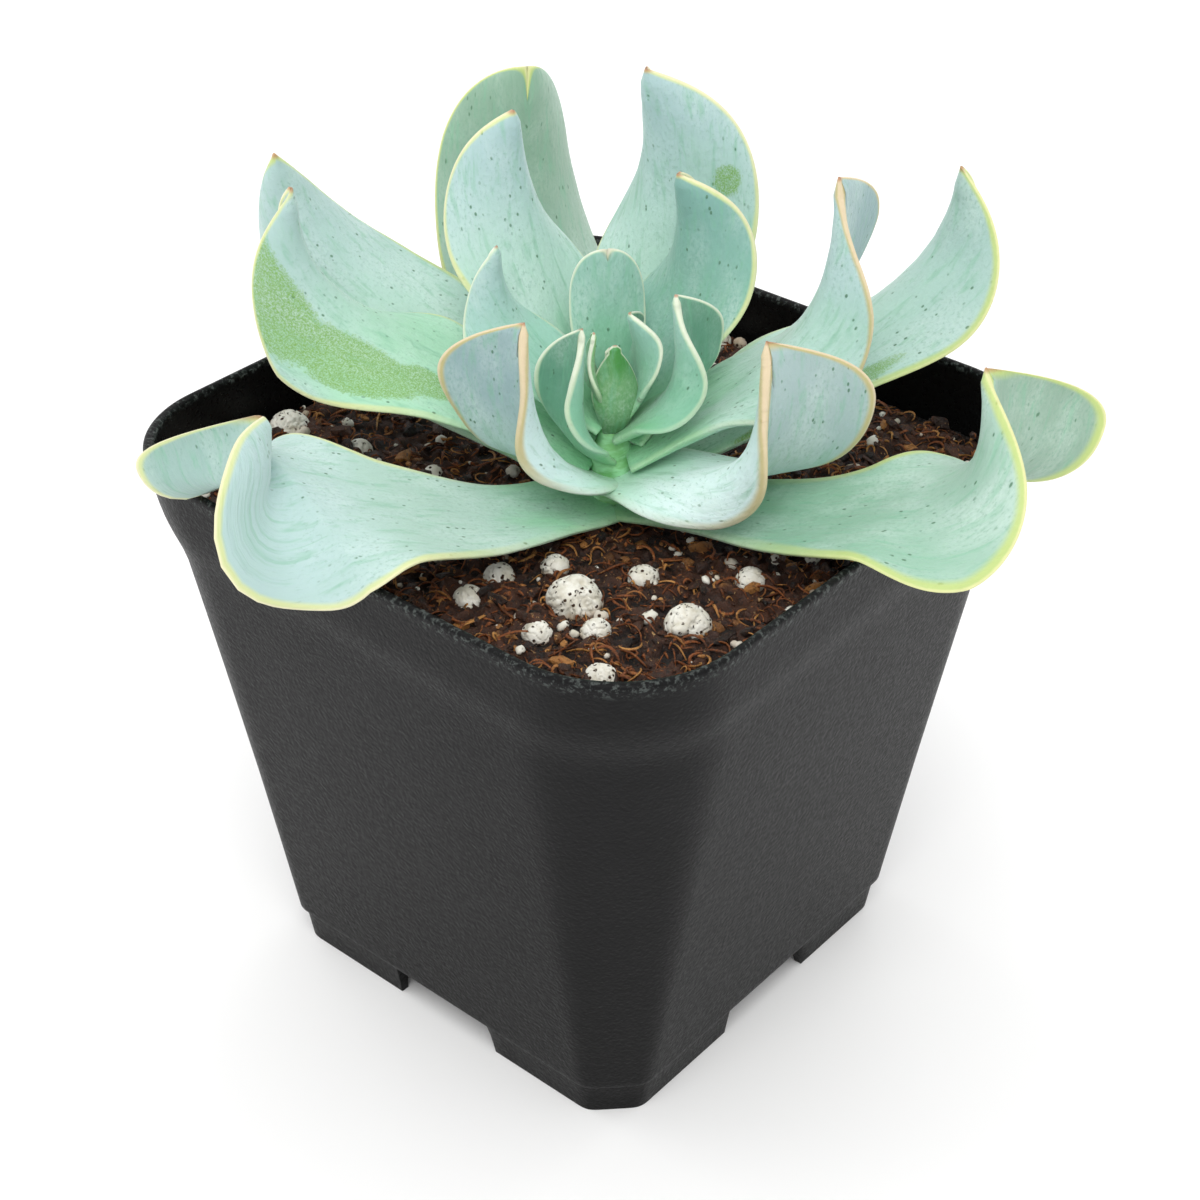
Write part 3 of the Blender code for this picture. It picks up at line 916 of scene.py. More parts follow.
@dataclass(frozen=True)
class Soil:
    """The gritty mix: a rough top, crumbs and fibres on it, and perlite of many sizes.

    The top's relief is broad clumps, crumb-sized lumps and fine grit. Each has a width and a height.
    """

    middle: Array
    level: float = 82.0
    half: float = 46.9
    corner: float = 17.0
    steps: int = 230
    crumbs: int = 2600
    fibres: int = 2400
    bits: int = 340
    clump: tuple[float, float] = (9.0, 0.8)
    lump: tuple[float, float] = (3.0, 1.25)
    grit: tuple[float, float] = (1.1, 0.8)

    def outline(self, bearing: Array) -> tuple[Array, Array]:
        """Distance from the middle to a square and to the same square with round corners, at a bearing.

        Args:
            bearing: angles in radians.

        Returns:
            The two distances.
        """
        cosine, sine = np.abs(np.cos(bearing)), np.abs(np.sin(bearing))
        square = self.half / np.maximum(cosine, sine)
        inner = self.half - self.corner
        reach = inner * (cosine + sine)
        inside = np.maximum(reach**2 - 2 * inner**2 + self.corner**2, 0)
        in_corner = square * np.minimum(cosine, sine) > inner
        return square, np.where(in_corner, reach + np.sqrt(inside), square)

    def rounded(self, flat: Array) -> Array:
        """Bends a square of points so that its border follows the rounded outline.

        Args:
            flat: (..., 2) in millimetres.

        Returns:
            The bent points.
        """
        bearing = np.arctan2(flat[..., 1], flat[..., 0])
        square, rounded = self.outline(bearing)
        near = np.max(np.abs(flat), axis=-1) / self.half
        scale = 1 + (rounded / square - 1) * near**3
        return flat * scale[..., None]

    def relief(self, flat: Array) -> Array:
        """Height of the rough top over its level: clumps, crumbs and grit added up.

        Args:
            flat: (..., 2) in millimetres from the pot's middle.

        Returns:
            Heights in millimetres.
        """
        points = np.concatenate([flat, np.zeros((*flat.shape[:-1], 1))], axis=-1)
        clumps = noise(points, self.clump[0], 11, 2)
        lumps = 1 - np.abs(noise(points, self.lump[0], 12, 2)) * 2
        grit = noise(points, self.grit[0], 13, 2)
        return -0.1 + self.clump[1] * clumps + self.lump[1] * lumps + self.grit[1] * grit

    def place(self, count: int, draw: np.random.Generator, spread: float = 0.985) -> Array:
        """Random places inside the rounded outline, shape (count, 2)."""
        flat = draw.uniform(-self.half, self.half, (count, 2))
        return self.rounded(flat) * spread

    def strewn(
        self, draw: np.random.Generator, shape: Array, faces: Array, places: Array, lift: Array, tilt: float
    ) -> tuple[Array, Array]:
        """Turns each lump at random, lays it on the relief at its place and numbers its faces on.

        Args:
            draw: the source of random numbers.
            shape: (count, points, 3) round the origin.
            faces: one lump's triangles.
            places: (count, 2) on the top.
            lift: how far each middle stands over the relief.
            tilt: the usual tilt in radians.

        Returns:
            All points, in millimetres, and all triangles.
        """
        count, each = shape.shape[:2]
        lying = turned(shape, draw.uniform(0, 2 * np.pi, count), draw.normal(0, tilt, count))
        height = self.level + self.relief(places) + lift
        points = lying + np.concatenate([places, height[:, None]], -1)[:, None, :]
        triangles = (faces[None] + each * np.arange(count)[:, None, None]).reshape(-1, 3)
        return points.reshape(-1, 3), triangles

    def build_top(self) -> bpy.types.Object:
        """The rough top: a bent grid with relief, closed below by a fan to one point.

        Returns:
            The top.
        """
        line = np.linspace(-self.half, self.half, self.steps)
        square = np.stack(np.meshgrid(line, line, indexing="xy"), -1)
        flat = self.rounded(square)
        border = np.max(np.abs(square), axis=-1) / self.half
        relief = self.relief(flat) * (1 - 0.8 * rise(0.96, 1.0, border)) - 0.9 * rise(0.93, 1.0, border)
        points = np.concatenate([flat, (self.level + relief)[..., None]], axis=-1).reshape(-1, 3)
        count, below = self.steps, 4.0
        index = np.arange(count - 1)
        low = (index[:, None] * count + index[None, :]).reshape(-1)
        quads = np.stack([low, low + 1, low + count + 1, low + count], axis=-1)
        back = count - 1 - index
        edge = np.concatenate([index, index * count + count - 1, back + count * (count - 1), back * count])
        points = np.concatenate([points, [[0.0, 0.0, self.level - below]]])
        # The tint rises with the relief, so lumps are painted lighter and hollows darker, as painted light and
        # shade, with noise for random tone.
        tint = np.concatenate([0.22 + 0.30 * relief.reshape(-1) + 0.25 * noise(points[:-1], 2.4, 17, 2), [0.3]])
        return mesh_object("soil_top", points * MM + self.middle, quads, fan(count * count, edge, False),
                           MixFinish().build("moist_mix"), fields={"tint": tint})

    def build_crumbs(self) -> bpy.types.Object:
        """Loose crumbs of coir and bark: squashed, uneven twenty-sided lumps strewn over the top.

        Returns:
            The crumbs.
        """
        draw = np.random.default_rng(21)
        base, faces = icosahedron()
        places = self.place(self.crumbs, draw)
        size = 0.35 + 1.15 * draw.random(self.crumbs) ** 3.2
        stretch = np.stack([draw.uniform(0.7, 1.7, self.crumbs), draw.uniform(0.5, 1.0, self.crumbs),
                            draw.uniform(0.35, 0.8, self.crumbs)], -1)
        uneven = draw.uniform(0.65, 1.2, (self.crumbs, len(base), 1))
        shape = base[None] * uneven * (size[:, None] * stretch)[:, None, :]
        points, triangles = self.strewn(draw, shape, faces, places, 0.25 * size, 0.5)
        tint = np.repeat(draw.random(self.crumbs), len(base))
        made = mesh_object("soil_crumbs", points * MM + self.middle, NO_QUADS, triangles,
                           MixFinish(rough=0.55).build("crumbs"), fields={"tint": tint})
        made.data.polygons.foreach_set("use_smooth", np.zeros(len(triangles), bool))
        return made

    def build_fibres(self) -> bpy.types.Object:
        """Curly coir fibres: thin three-sided tubes, each along an arc that also rises and dips.

        Returns:
            The fibres.
        """
        draw = np.random.default_rng(22)
        count, steps, sides = self.fibres, 8, 3
        start = self.place(count, draw, 0.95)
        heading = draw.uniform(0, 2 * np.pi, count)[:, None]
        bend = draw.normal(0, 2.6, count)[:, None]
        length = 1.2 + 5.5 * draw.random(count)[:, None] ** 1.8
        share = np.linspace(0, 1, steps)[None, :]
        angle = heading + bend * (share - 0.5)
        step = length / steps
        path = np.stack([np.cumsum(np.cos(angle) * step, 1), np.cumsum(np.sin(angle) * step, 1)], -1)
        path = start[:, None, :] + path - path.mean(axis=1, keepdims=True)
        limit = np.max(np.abs(path), axis=(1, 2)) < self.half - 1.5
        path, angle = path[limit], angle[limit]
        count = len(path)
        share = np.broadcast_to(share, (count, steps))
        hump = draw.uniform(0.1, 0.9, count)[:, None] * np.sin(np.pi * share)
        height = self.level + self.relief(path).max(axis=1, keepdims=True) * 0.6 + 0.15 + hump
        centre = np.concatenate([path, height[..., None]], -1)
        slimmer = 0.35 + 0.65 * np.sin(np.pi * (0.1 + 0.8 * share))
        radius = draw.uniform(0.08, 0.26, count)[:, None, None] * slimmer[..., None]
        around = np.arange(sides) * 2 * np.pi / sides
        across = np.stack([-np.sin(angle), np.cos(angle), np.zeros_like(angle)], -1)
        points = centre[:, :, None, :] + radius[..., None] * (
            np.cos(around)[None, None, :, None] * across[:, :, None, :]
            + np.sin(around)[None, None, :, None] * np.array([0.0, 0.0, 1.0])
        )
        quads = (tube_faces(steps, sides)[None] + steps * sides * np.arange(count)[:, None, None]).reshape(-1, 4)
        first = steps * sides * np.arange(count)[:, None]
        caps = np.concatenate([first + [[2, 1, 0]], first + (steps - 1) * sides + [[0, 1, 2]]])
        tint = np.repeat(draw.uniform(0.25, 1.0, count), steps * sides)
        finish = MixFinish(dark=(60, 30, 14), brown=(150, 84, 38), tan=(206, 146, 78), rough=0.6)
        return mesh_object("soil_fibres", points.reshape(-1, 3) * MM + self.middle, quads, caps,
                           finish.build("fibres"), fields={"tint": tint})

    def build_bits(self) -> bpy.types.Object:
        """Crumbs of perlite: small uneven white lumps scattered over the top.

        Returns:
            The crumbs.
        """
        draw = np.random.default_rng(23)
        base, faces = ball(1)
        places = self.place(self.bits, draw, 0.96)
        size = 0.3 + 1.0 * draw.random(self.bits) ** 2.6
        bump_out = 1 + 0.12 * draw.normal(0, 0.7, (self.bits, len(base), 1)).clip(-1.2, 1.2)
        stretch = np.stack([draw.uniform(0.8, 1.4, self.bits), draw.uniform(0.7, 1.0, self.bits),
                            draw.uniform(0.6, 0.95, self.bits)], -1)
        shape = base[None] * bump_out * (size[:, None] * stretch)[:, None, :]
        points, triangles = self.strewn(draw, shape, faces, places, 0.3 * size, 0.4)
        soiled = np.repeat(draw.random(self.bits) ** 3 * 0.8, len(base))
        return mesh_object("perlite_crumbs", points * MM + self.middle, NO_QUADS, triangles,
                           PerliteFinish().build("perlite_small"), fields={"soiled": soiled})


SMOOTH_SPLITS = 4


def icosahedron() -> tuple[Array, Array]:
    """The twelve points and twenty faces of an icosahedron of radius 1.

    Returns:
        The points and the faces.
    """
    golden = (1 + 5**0.5) / 2
    points = []
    for first in (-1, 1):
        for second in (-golden, golden):
            points += [(0, first, second), (first, second, 0), (second, 0, first)]
    points = np.array(points, float)
    points /= np.linalg.norm(points, axis=1)[:, None]
    edge_length = 1.1  # a little over the real one, 1.05
    near = np.linalg.norm(points[:, None] - points[None], axis=-1) < edge_length
    faces = [
        (a, b, c)
        for a in range(12) for b in range(a + 1, 12) for c in range(b + 1, 12)
        if near[a, b] and near[b, c] and near[a, c]
    ]
    faces = np.array(faces)
    corners = points[faces]
    normals = np.cross(corners[:, 1] - corners[:, 0], corners[:, 2] - corners[:, 0])
    facing = np.einsum("ij,ij->i", normals, corners.mean(1))
    faces[facing < 0] = faces[facing < 0][:, ::-1]
    return points, faces


def finer(points: Array, faces: Array) -> tuple[Array, Array]:
    """Splits each face of a ball in four and puts the new points on the ball.

    Args:
        points: (n, 3) on a ball of radius 1.
        faces: (t, 3) point numbers.

    Returns:
        The new points and faces.
    """
    pairs = np.sort(np.concatenate([faces[:, [0, 1]], faces[:, [1, 2]], faces[:, [2, 0]]]), axis=1)
    edges, index = np.unique(pairs, axis=0, return_inverse=True)
    index = index.reshape(3, -1) + len(points)
    middle = points[edges].mean(axis=1)
    middle /= np.linalg.norm(middle, axis=1)[:, None]
    a, b, c = faces.T
    ab, bc, ca = index
    parts = [(a, ab, ca), (b, bc, ab), (c, ca, bc), (ab, bc, ca)]
    return np.concatenate([points, middle]), np.concatenate([np.stack(part, -1) for part in parts])


def ball(splits: int) -> tuple[Array, Array]:
    """An icosahedron whose faces have been split in four `splits` times, all on a ball of radius 1.

    Args:
        splits: how many times.

    Returns:
        The points and the faces.
    """
    points, faces = icosahedron()
    for _ in range(splits):
        points, faces = finer(points, faces)
    return points, faces


def turned(shapes: Array, spin: Array, tilt: Array) -> Array:
    """Turns each of many shapes about X by its tilt, then about Z by its spin.

    Args:
        shapes: (count, points, 3).
        spin: radians, one for each shape.
        tilt: radians, one for each shape.

    Returns:
        The turned shapes.
    """
    x, y, z = (shapes[..., i] for i in range(3))
    cosine, sine = np.cos(tilt)[:, None], np.sin(tilt)[:, None]
    y, z = y * cosine - z * sine, y * sine + z * cosine
    cosine, sine = np.cos(spin)[:, None], np.sin(spin)[:, None]
    return np.stack([x * cosine - y * sine, x * sine + y * cosine, z], -1)


@dataclass(frozen=True)
class Grain:
    """One larger perlite grain: a ball with broad lumps and small hollows, flattened where it lies."""

    low: Array
    high: Array
    number: int
    material: bpy.types.Material

    def build(self) -> bpy.types.Object:
        """The grain, filling its node's box.

        The ball's radius at a place is 1 plus broad noise, less a share of ridged fine noise.

        Returns:
            The grain.
        """
        points, faces = ball(SMOOTH_SPLITS)
        seed = 100 + self.number
        broad = noise(points + seed, 0.8, seed, 2)
        fine = np.abs(noise(points + seed, 0.42, seed + 7, 2))
        shape = points * (1.0 + 0.10 * broad - 0.16 * rise(0.12, 0.0, fine))[:, None]
        radius = (self.high[0] - self.low[0]) / 2
        centre = np.array([*(self.high + self.low)[:2] / 2, self.high[2] - 0.9 * radius])
        soiled = np.clip(0.25 - 1.8 * points[:, 2] + 0.6 * broad, 0, 0.7) * (points[:, 2] < 0.3)
        fuller = np.array([1.16, 1.16, 1.02])
        return mesh_object(f"grain_{self.number:02d}", shape * radius * fuller + centre,
                           NO_QUADS, faces, self.material, fields={"soiled": soiled})


# ---------------------------------------------------------------- plant


@dataclass(frozen=True)
class Rub:
    """A place where the bloom is rubbed off: where along and across the leaf, and how far it spreads."""

    along: float
    across: float
    long: float
    wide: float
    strength: float = 1.0


@dataclass(frozen=True)
class Side:
    """One half of a leaf, from its midrib to a margin.

    `fold` is the angle in degrees that it is folded back by, and `width` a factor on its width. It is
    widest at the share `widest` of the length, or where the leaf is if that is 0, and an early widest
    place gives a long, tapered end. `slender` above 1 keeps it narrow for longer.
    """

    fold: float = 70.0
    width: float = 1.0
    widest: float = 0.0
    slender: float = 1.0


SHARP_FOLD = 80.0  # degrees: folds past this ease towards the tip
TAPERED_BELOW = 0.75  # share of the length
WAVE_TURNS = 17  # radians from base to tip


@dataclass(frozen=True)
class Leaf:
    """One leaf. Lengths are in millimetres, heights are above the soil and angles are in degrees.

    Its midrib is a cubic Bezier curve that leaves the stem at `leaves_at` and reaches its tip at
    `ends_at`. Across it, each section is an arc: near the base a shallow channel, and then, from the
    share `curl_from` of the length to `curl_to`, each side folds back by its own angle. `crease`
    gathers the fold near the midrib, and `relax` opens a sharp fold again towards the tip. The
    thickness follows half an ellipse from margin to margin. `dent` and `pimple` are unevenness, each a
    width and a height. With `on_rim`, `reach` counts from the
    pot's outer wall, and the leaf is raised until it clears the rim.
    """

    name: str
    heading: float
    attach: float
    leaves_at: float
    straight: float
    reach: float
    top: float
    ends_at: float
    bend: float
    half_width: float
    thickness: float = 3.0
    left: Side = Side()
    right: Side = Side()
    sweep: float = 0.0
    base_roll: float = 0.0
    tip_roll: float = 0.0
    channel: float = 20.0
    widest: float = 0.66
    notch: float = 0.0
    on_rim: bool = False
    neck: float = 0.42
    wave: float = 0.35
    crease: float = 0.5
    curl_from: float = 0.35
    curl_to: float = 0.85
    tip_shape: float = 1.05
    relax: float = 0.0
    finish: LeafFinish = field(default_factory=LeafFinish)
    rubs: tuple[Rub, ...] = ()
    stations: int = 84
    across: int = 41
    edge_thickness: float = 0.36
    margin_bead: float = 0.12
    dent: tuple[float, float] = (7.0, 0.22)
    pimple: tuple[float, float] = (2.2, 0.07)

    def build(self, rosette: "Rosette") -> bpy.types.Object:
        """The leaf as a closed mesh with its surface coordinates and painted shares.

        Args:
            rosette: gives the stem, the soil and the pot that the leaf fits.

        Returns:
            The object.
        """
        share, centre = self.midrib(rosette)
        out = np.array([np.cos(np.radians(self.heading)), np.sin(np.radians(self.heading)), 0.0])
        side = np.array([-out[1], out[0], 0.0])
        path = rosette.stem_at + centre[:, :1] * out
        path = path + np.stack([0 * share, 0 * share, centre[:, 1] + rosette.level], -1)
        path = path + (self.sweep * share**2)[:, None] * side
        along = np.gradient(path, axis=0)
        along /= np.linalg.norm(along, axis=1)[:, None]
        left = side - (along @ side)[:, None] * along
        left /= np.linalg.norm(left, axis=1)[:, None]
        face = np.cross(along, left)
        roll = np.radians(self.base_roll * (1 - share) + self.tip_roll * share)[:, None]
        left, face = np.cos(roll) * left + np.sin(roll) * face, np.cos(roll) * face - np.sin(roll) * left
        upper, lower, flat = self.sections(share, path, along, left, face)
        if self.on_rim:
            upper, lower = self.lifted(upper, lower, out, rosette)
        distance = np.concatenate([[0], np.cumsum(np.linalg.norm(np.diff(path, axis=0), axis=1))])
        return self.mesh(share, distance, upper, lower, flat, rosette)

    def midrib(self, rosette: "Rosette") -> tuple[Array, Array]:
        """Evenly spaced points along the Bezier curve, closer together at the tip.

        Args:
            rosette: gives the stem's radius and the way to the rim.

        Returns:
            The share of the length at each station, and (out, up) from the stem at soil level.
        """
        leaves_at, ends_at = np.radians(self.leaves_at), np.radians(self.ends_at)
        tuck = self.thickness / 2 * np.sin(leaves_at)
        sunk = 1.4
        start = np.array([rosette.stem_radius(self.attach) - sunk + tuck, self.attach])
        rim = rosette.rim_distance(self.heading)
        tip = np.array([self.reach + (rim if self.on_rim else 0), self.top])
        straight = 0.8 * rim if self.on_rim else self.straight
        first = start + straight * np.array([np.cos(leaves_at), np.sin(leaves_at)])
        second = tip - self.bend * np.array([np.cos(ends_at), np.sin(ends_at)])
        t = np.linspace(0, 1, 600)[:, None]
        curve = (1 - t) ** 3 * start + 3 * (1 - t) ** 2 * t * first + 3 * (1 - t) * t * t * second + t**3 * tip
        length = np.concatenate([[0], np.cumsum(np.linalg.norm(np.diff(curve, axis=0), axis=1))])
        share = 1 - (1 - np.linspace(0, 1, self.stations)) ** 1.25
        wanted = share * length[-1]
        return share, np.stack([np.interp(wanted, length, curve[:, i]) for i in range(2)], -1)

    def half_widths(
        self, share: Array, widest: float, tapered: bool = False, slender: float = 1.0
    ) -> Array:
        """Half the flat width: a neck, a smooth rise to the widest place, and an end that closes to a point.

        Past the widest place, with p from 0 there to 1 at the tip, it is (1 - p^2.2) to a power, or
        (1 - p^1.3)^1.25 where it is tapered. A small blunt point keeps the tip from vanishing.

        Args:
            share: share of the length at each station.
            widest: the share at which the leaf is widest.
            tapered: whether the end narrows early to a long point.
            slender: above 1, keeps the leaf narrow for longer before it widens.

        Returns:
            Half widths in millimetres.
        """
        rising = self.neck + (1 - self.neck) * rise(-0.08, widest, share) ** slender
        past = np.clip((share - widest) / (1 - widest), 0, 1)
        ending = np.clip(1 - past ** (1.3 if tapered else 2.2), 0, 1) ** (1.25 if tapered else self.tip_shape)
        width = np.where(share < widest, rising, ending) * self.half_width
        point = 0.9 * np.clip((1 - share) / 0.05, 0, 1) ** 0.7
        return np.maximum(width, point) + 0.05

    def sections(
        self, share: Array, path: Array, along: Array, left: Array, face: Array
    ) -> tuple[Array, Array, Array]:
        """Upper and lower points of every section, from its right margin to its left.

        Args:
            share: share of the length at each station.
            path: the midrib's points.
            along: unit vectors along the midrib.
            left: unit vectors to the leaf's left.
            face: unit vectors out of its upper face.

        Returns:
            Upper points, lower points, and the flat distance of each from the midrib.
        """
        width = self.half_widths(share, self.widest)[:, None]
        curled = rise(self.curl_from, self.curl_to, share)[:, None]
        v = np.linspace(0, 1, self.across // 2 + 1)[None, :]
        v = 0.6 * v + 0.4 * np.sin(v * np.pi / 2)
        creased = (1 - self.crease) * v + self.crease * (1 - (1 - v) ** 3)
        halves = []
        for side in (self.right, self.left):
            eased = side.fold * (1 - self.relax * rise(0.5, 0.95, share)[:, None] * (side.fold > SHARP_FOLD))
            turn = np.radians(self.channel * (1 - curled) * v - eased * curled * creased)
            peak = side.widest or self.widest
            own = self.half_widths(share, peak, 0 < side.widest < TAPERED_BELOW, side.slender)[:, None]
            spread = own / width * (1 + (side.width - 1) * rise(peak - 0.35, peak, share)[:, None])
            steps = np.stack([np.cos(turn), np.sin(turn)], -1) * (width * spread)[..., None]
            reach = np.cumsum((steps[:, 1:] + steps[:, :-1]) / 2 * np.diff(v)[..., None], axis=1)
            outline = np.concatenate([np.zeros((len(share), 1, 2)), reach], axis=1)
            halves.append((outline, turn, v * width * spread))
        (right, right_turn, right_flat), (lefts, left_turn, left_flat) = halves
        u = np.concatenate([-v[:, :0:-1], v], axis=1)
        sign = np.sign(u)
        turn = np.concatenate([right_turn[:, :0:-1], left_turn], axis=1)
        flat = np.concatenate([-right_flat[:, :0:-1], left_flat], axis=1)
        sideways = np.concatenate([-right[:, :0:-1, 0], lefts[..., 0]], axis=1)
        phase = share[:, None] * WAVE_TURNS + self.heading + np.where(u > 0, 0, 2)
        ripple = self.wave * np.sin(phase) * np.abs(u) ** 3
        outward = np.concatenate([right[:, :0:-1, 1], lefts[..., 1]], axis=1) + ripple
        shoulder = self.notch * rise(0.6, 1.0, share)[:, None] * (1 - (1 - np.abs(u)) ** 2)
        middle = path[:, None] + sideways[..., None] * left[:, None] + outward[..., None] * face[:, None]
        middle = middle + shoulder[..., None] * along[:, None]
        normal = np.cos(turn)[..., None] * face[:, None] - (sign * np.sin(turn))[..., None] * left[:, None]
        thick = self.thickness * (1 - 0.45 * rise(0.3, 1.0, share)) * (0.75 + 0.25 * rise(0, 0.25, share))
        thick = thick[:, None] * np.minimum(1, width / (0.3 * self.half_width) + 0.15)
        edge = np.minimum(self.edge_thickness, 0.4 * thick)
        half = (edge + (thick - edge) * np.sqrt(np.clip(1 - u**2, 0, 1)) ** 1.1) / 2
        dents = self.dent[1] * noise(middle, self.dent[0], 31, 3)
        dents += self.pimple[1] * noise(middle, self.pimple[0], 32, 2)
        middle = middle + (dents * (1 - 0.5 * np.abs(u)))[..., None] * normal
        return middle + half[..., None] * normal, middle - half[..., None] * normal, flat

    def lifted(self, upper: Array, lower: Array, out: Array, rosette: "Rosette") -> tuple[Array, Array]:
        """Raises the leaf, more the further out it is, until its underside clears the rim.

        Args:
            upper: upper points.
            lower: lower points.
            out: the unit vector along the leaf's heading.
            rosette: gives the rim's place.

        Returns:
            The raised points.
        """
        wall_axis = int(abs(out[1]) > abs(out[0]))
        sign = np.sign(out[wall_axis])
        place = lower[..., wall_axis] * sign
        outside, inside, clear = 0.3, 1.7, 0.6
        over = (place < rosette.rim_half + outside) & (place > rosette.rim_half - inside)
        lift = rosette.rim_height + clear - lower[..., 2][over].min()
        reach = rosette.rim_distance(self.heading)
        for part in (upper, lower):
            share = np.clip((part - rosette.stem_at) @ out / reach, 0, 1) ** 2
            part[..., 2] += lift * share
        return upper, lower

    def mesh(
        self, share: Array, distance: Array, upper: Array, lower: Array, flat: Array, rosette: "Rosette"
    ) -> bpy.types.Object:
        """Joins the two faces round the margins, closes both ends at a pole and paints the shares.

        Args:
            share: share of the length at each station.
            distance: distance along the midrib.
            upper: upper points.
            lower: lower points.
            flat: flat distance of each point from the midrib.
            rosette: gives the place of the pot's middle.

        Returns:
            The object.
        """
        rows, count = upper.shape[:2]
        bulge = (upper[:, [0, -1]] + lower[:, [0, -1]]) / 2
        outward = bulge - (upper[:, [1, -2]] + lower[:, [1, -2]]) / 2
        outward /= np.maximum(np.linalg.norm(outward, axis=-1, keepdims=True), 1e-9)
        bulge = bulge + self.margin_bead * outward
        ring = np.concatenate([bulge[:, :1], upper, bulge[:, 1:], lower[:, ::-1]], axis=1)
        across = np.concatenate([flat[:, :1], flat, flat[:, -1:], flat[:, ::-1]], axis=1)
        between = np.full((rows, 1), 0.5)
        under = np.concatenate([between, np.zeros((rows, count)), between, np.ones((rows, count))], 1)
        past = np.clip((1 - share) * distance[-1], 0, None)[:, None]
        edge = np.where(across > 0, flat[:, -1:], -flat[:, :1])
        margin = np.minimum(edge - np.abs(across), 0.8 * past + 0.1 + 0.3 * self.notch)
        long = np.broadcast_to(share[:, None], across.shape)
        rubbed = np.zeros_like(across)
        for rub in self.rubs:
            from_middle = across / self.half_width
            where = ((long - rub.along) / rub.long) ** 2 + ((from_middle - rub.across) / rub.wide) ** 2
            rubbed = np.maximum(rubbed, rub.strength * np.clip(1.15 - where, 0, 1) * (under < 0.6))
        quads = tube_faces(rows, ring.shape[1])
        total = rows * ring.shape[1]
        poles = np.stack([ring[0].mean(axis=0), ring[-1].mean(axis=0)])
        points = np.concatenate([ring.reshape(-1, 3), poles])
        first = np.arange(ring.shape[1])
        last = first + total - ring.shape[1]
        triangles = np.concatenate([fan(total, first, False), fan(total + 1, last, True)])

        def painted(values: Array, low: float, high: float) -> Array:
            """A value for each ring point and for the two poles.

            Args:
                values: the rings' values.
                low: the value at the base's pole.
                high: the value at the tip's pole.

            Returns:
                The values in point order.
            """
            return np.concatenate([values.reshape(-1), [low, high]])

        run = np.broadcast_to(distance[:, None], across.shape)
        uv = np.stack([painted(across, 0, 0), painted(run, 0, distance[-1])], -1)
        fields = {
            "along": painted(long, 0, 1), "margin": painted(margin, 5, 0),
            "under": painted(under, 0.5, 0.5), "rubbed": painted(rubbed, 0, 0),
        }
        return mesh_object(f"{self.name}_blade", points * MM + rosette.middle, quads, triangles,
                           self.finish.build(f"{self.name}_skin"), uv=uv / LEAF_UV_MM, fields=fields)


# Their scoop colours are painted shade on the leaves' undersides.
BLUE = {"end": (170, 198, 200), "scoop_shade": (150, 176, 180)}
YOUNG = {"base": (122, 194, 134), "middle": (130, 188, 158), "end": (144, 188, 174), "scoop_shade": (92, 148, 122)}
BUD = {
    "base": (44, 114, 42), "middle": (74, 148, 70), "end": (138, 194, 120), "scoop_shade": (70, 142, 66), "flecks": 0.5,
}

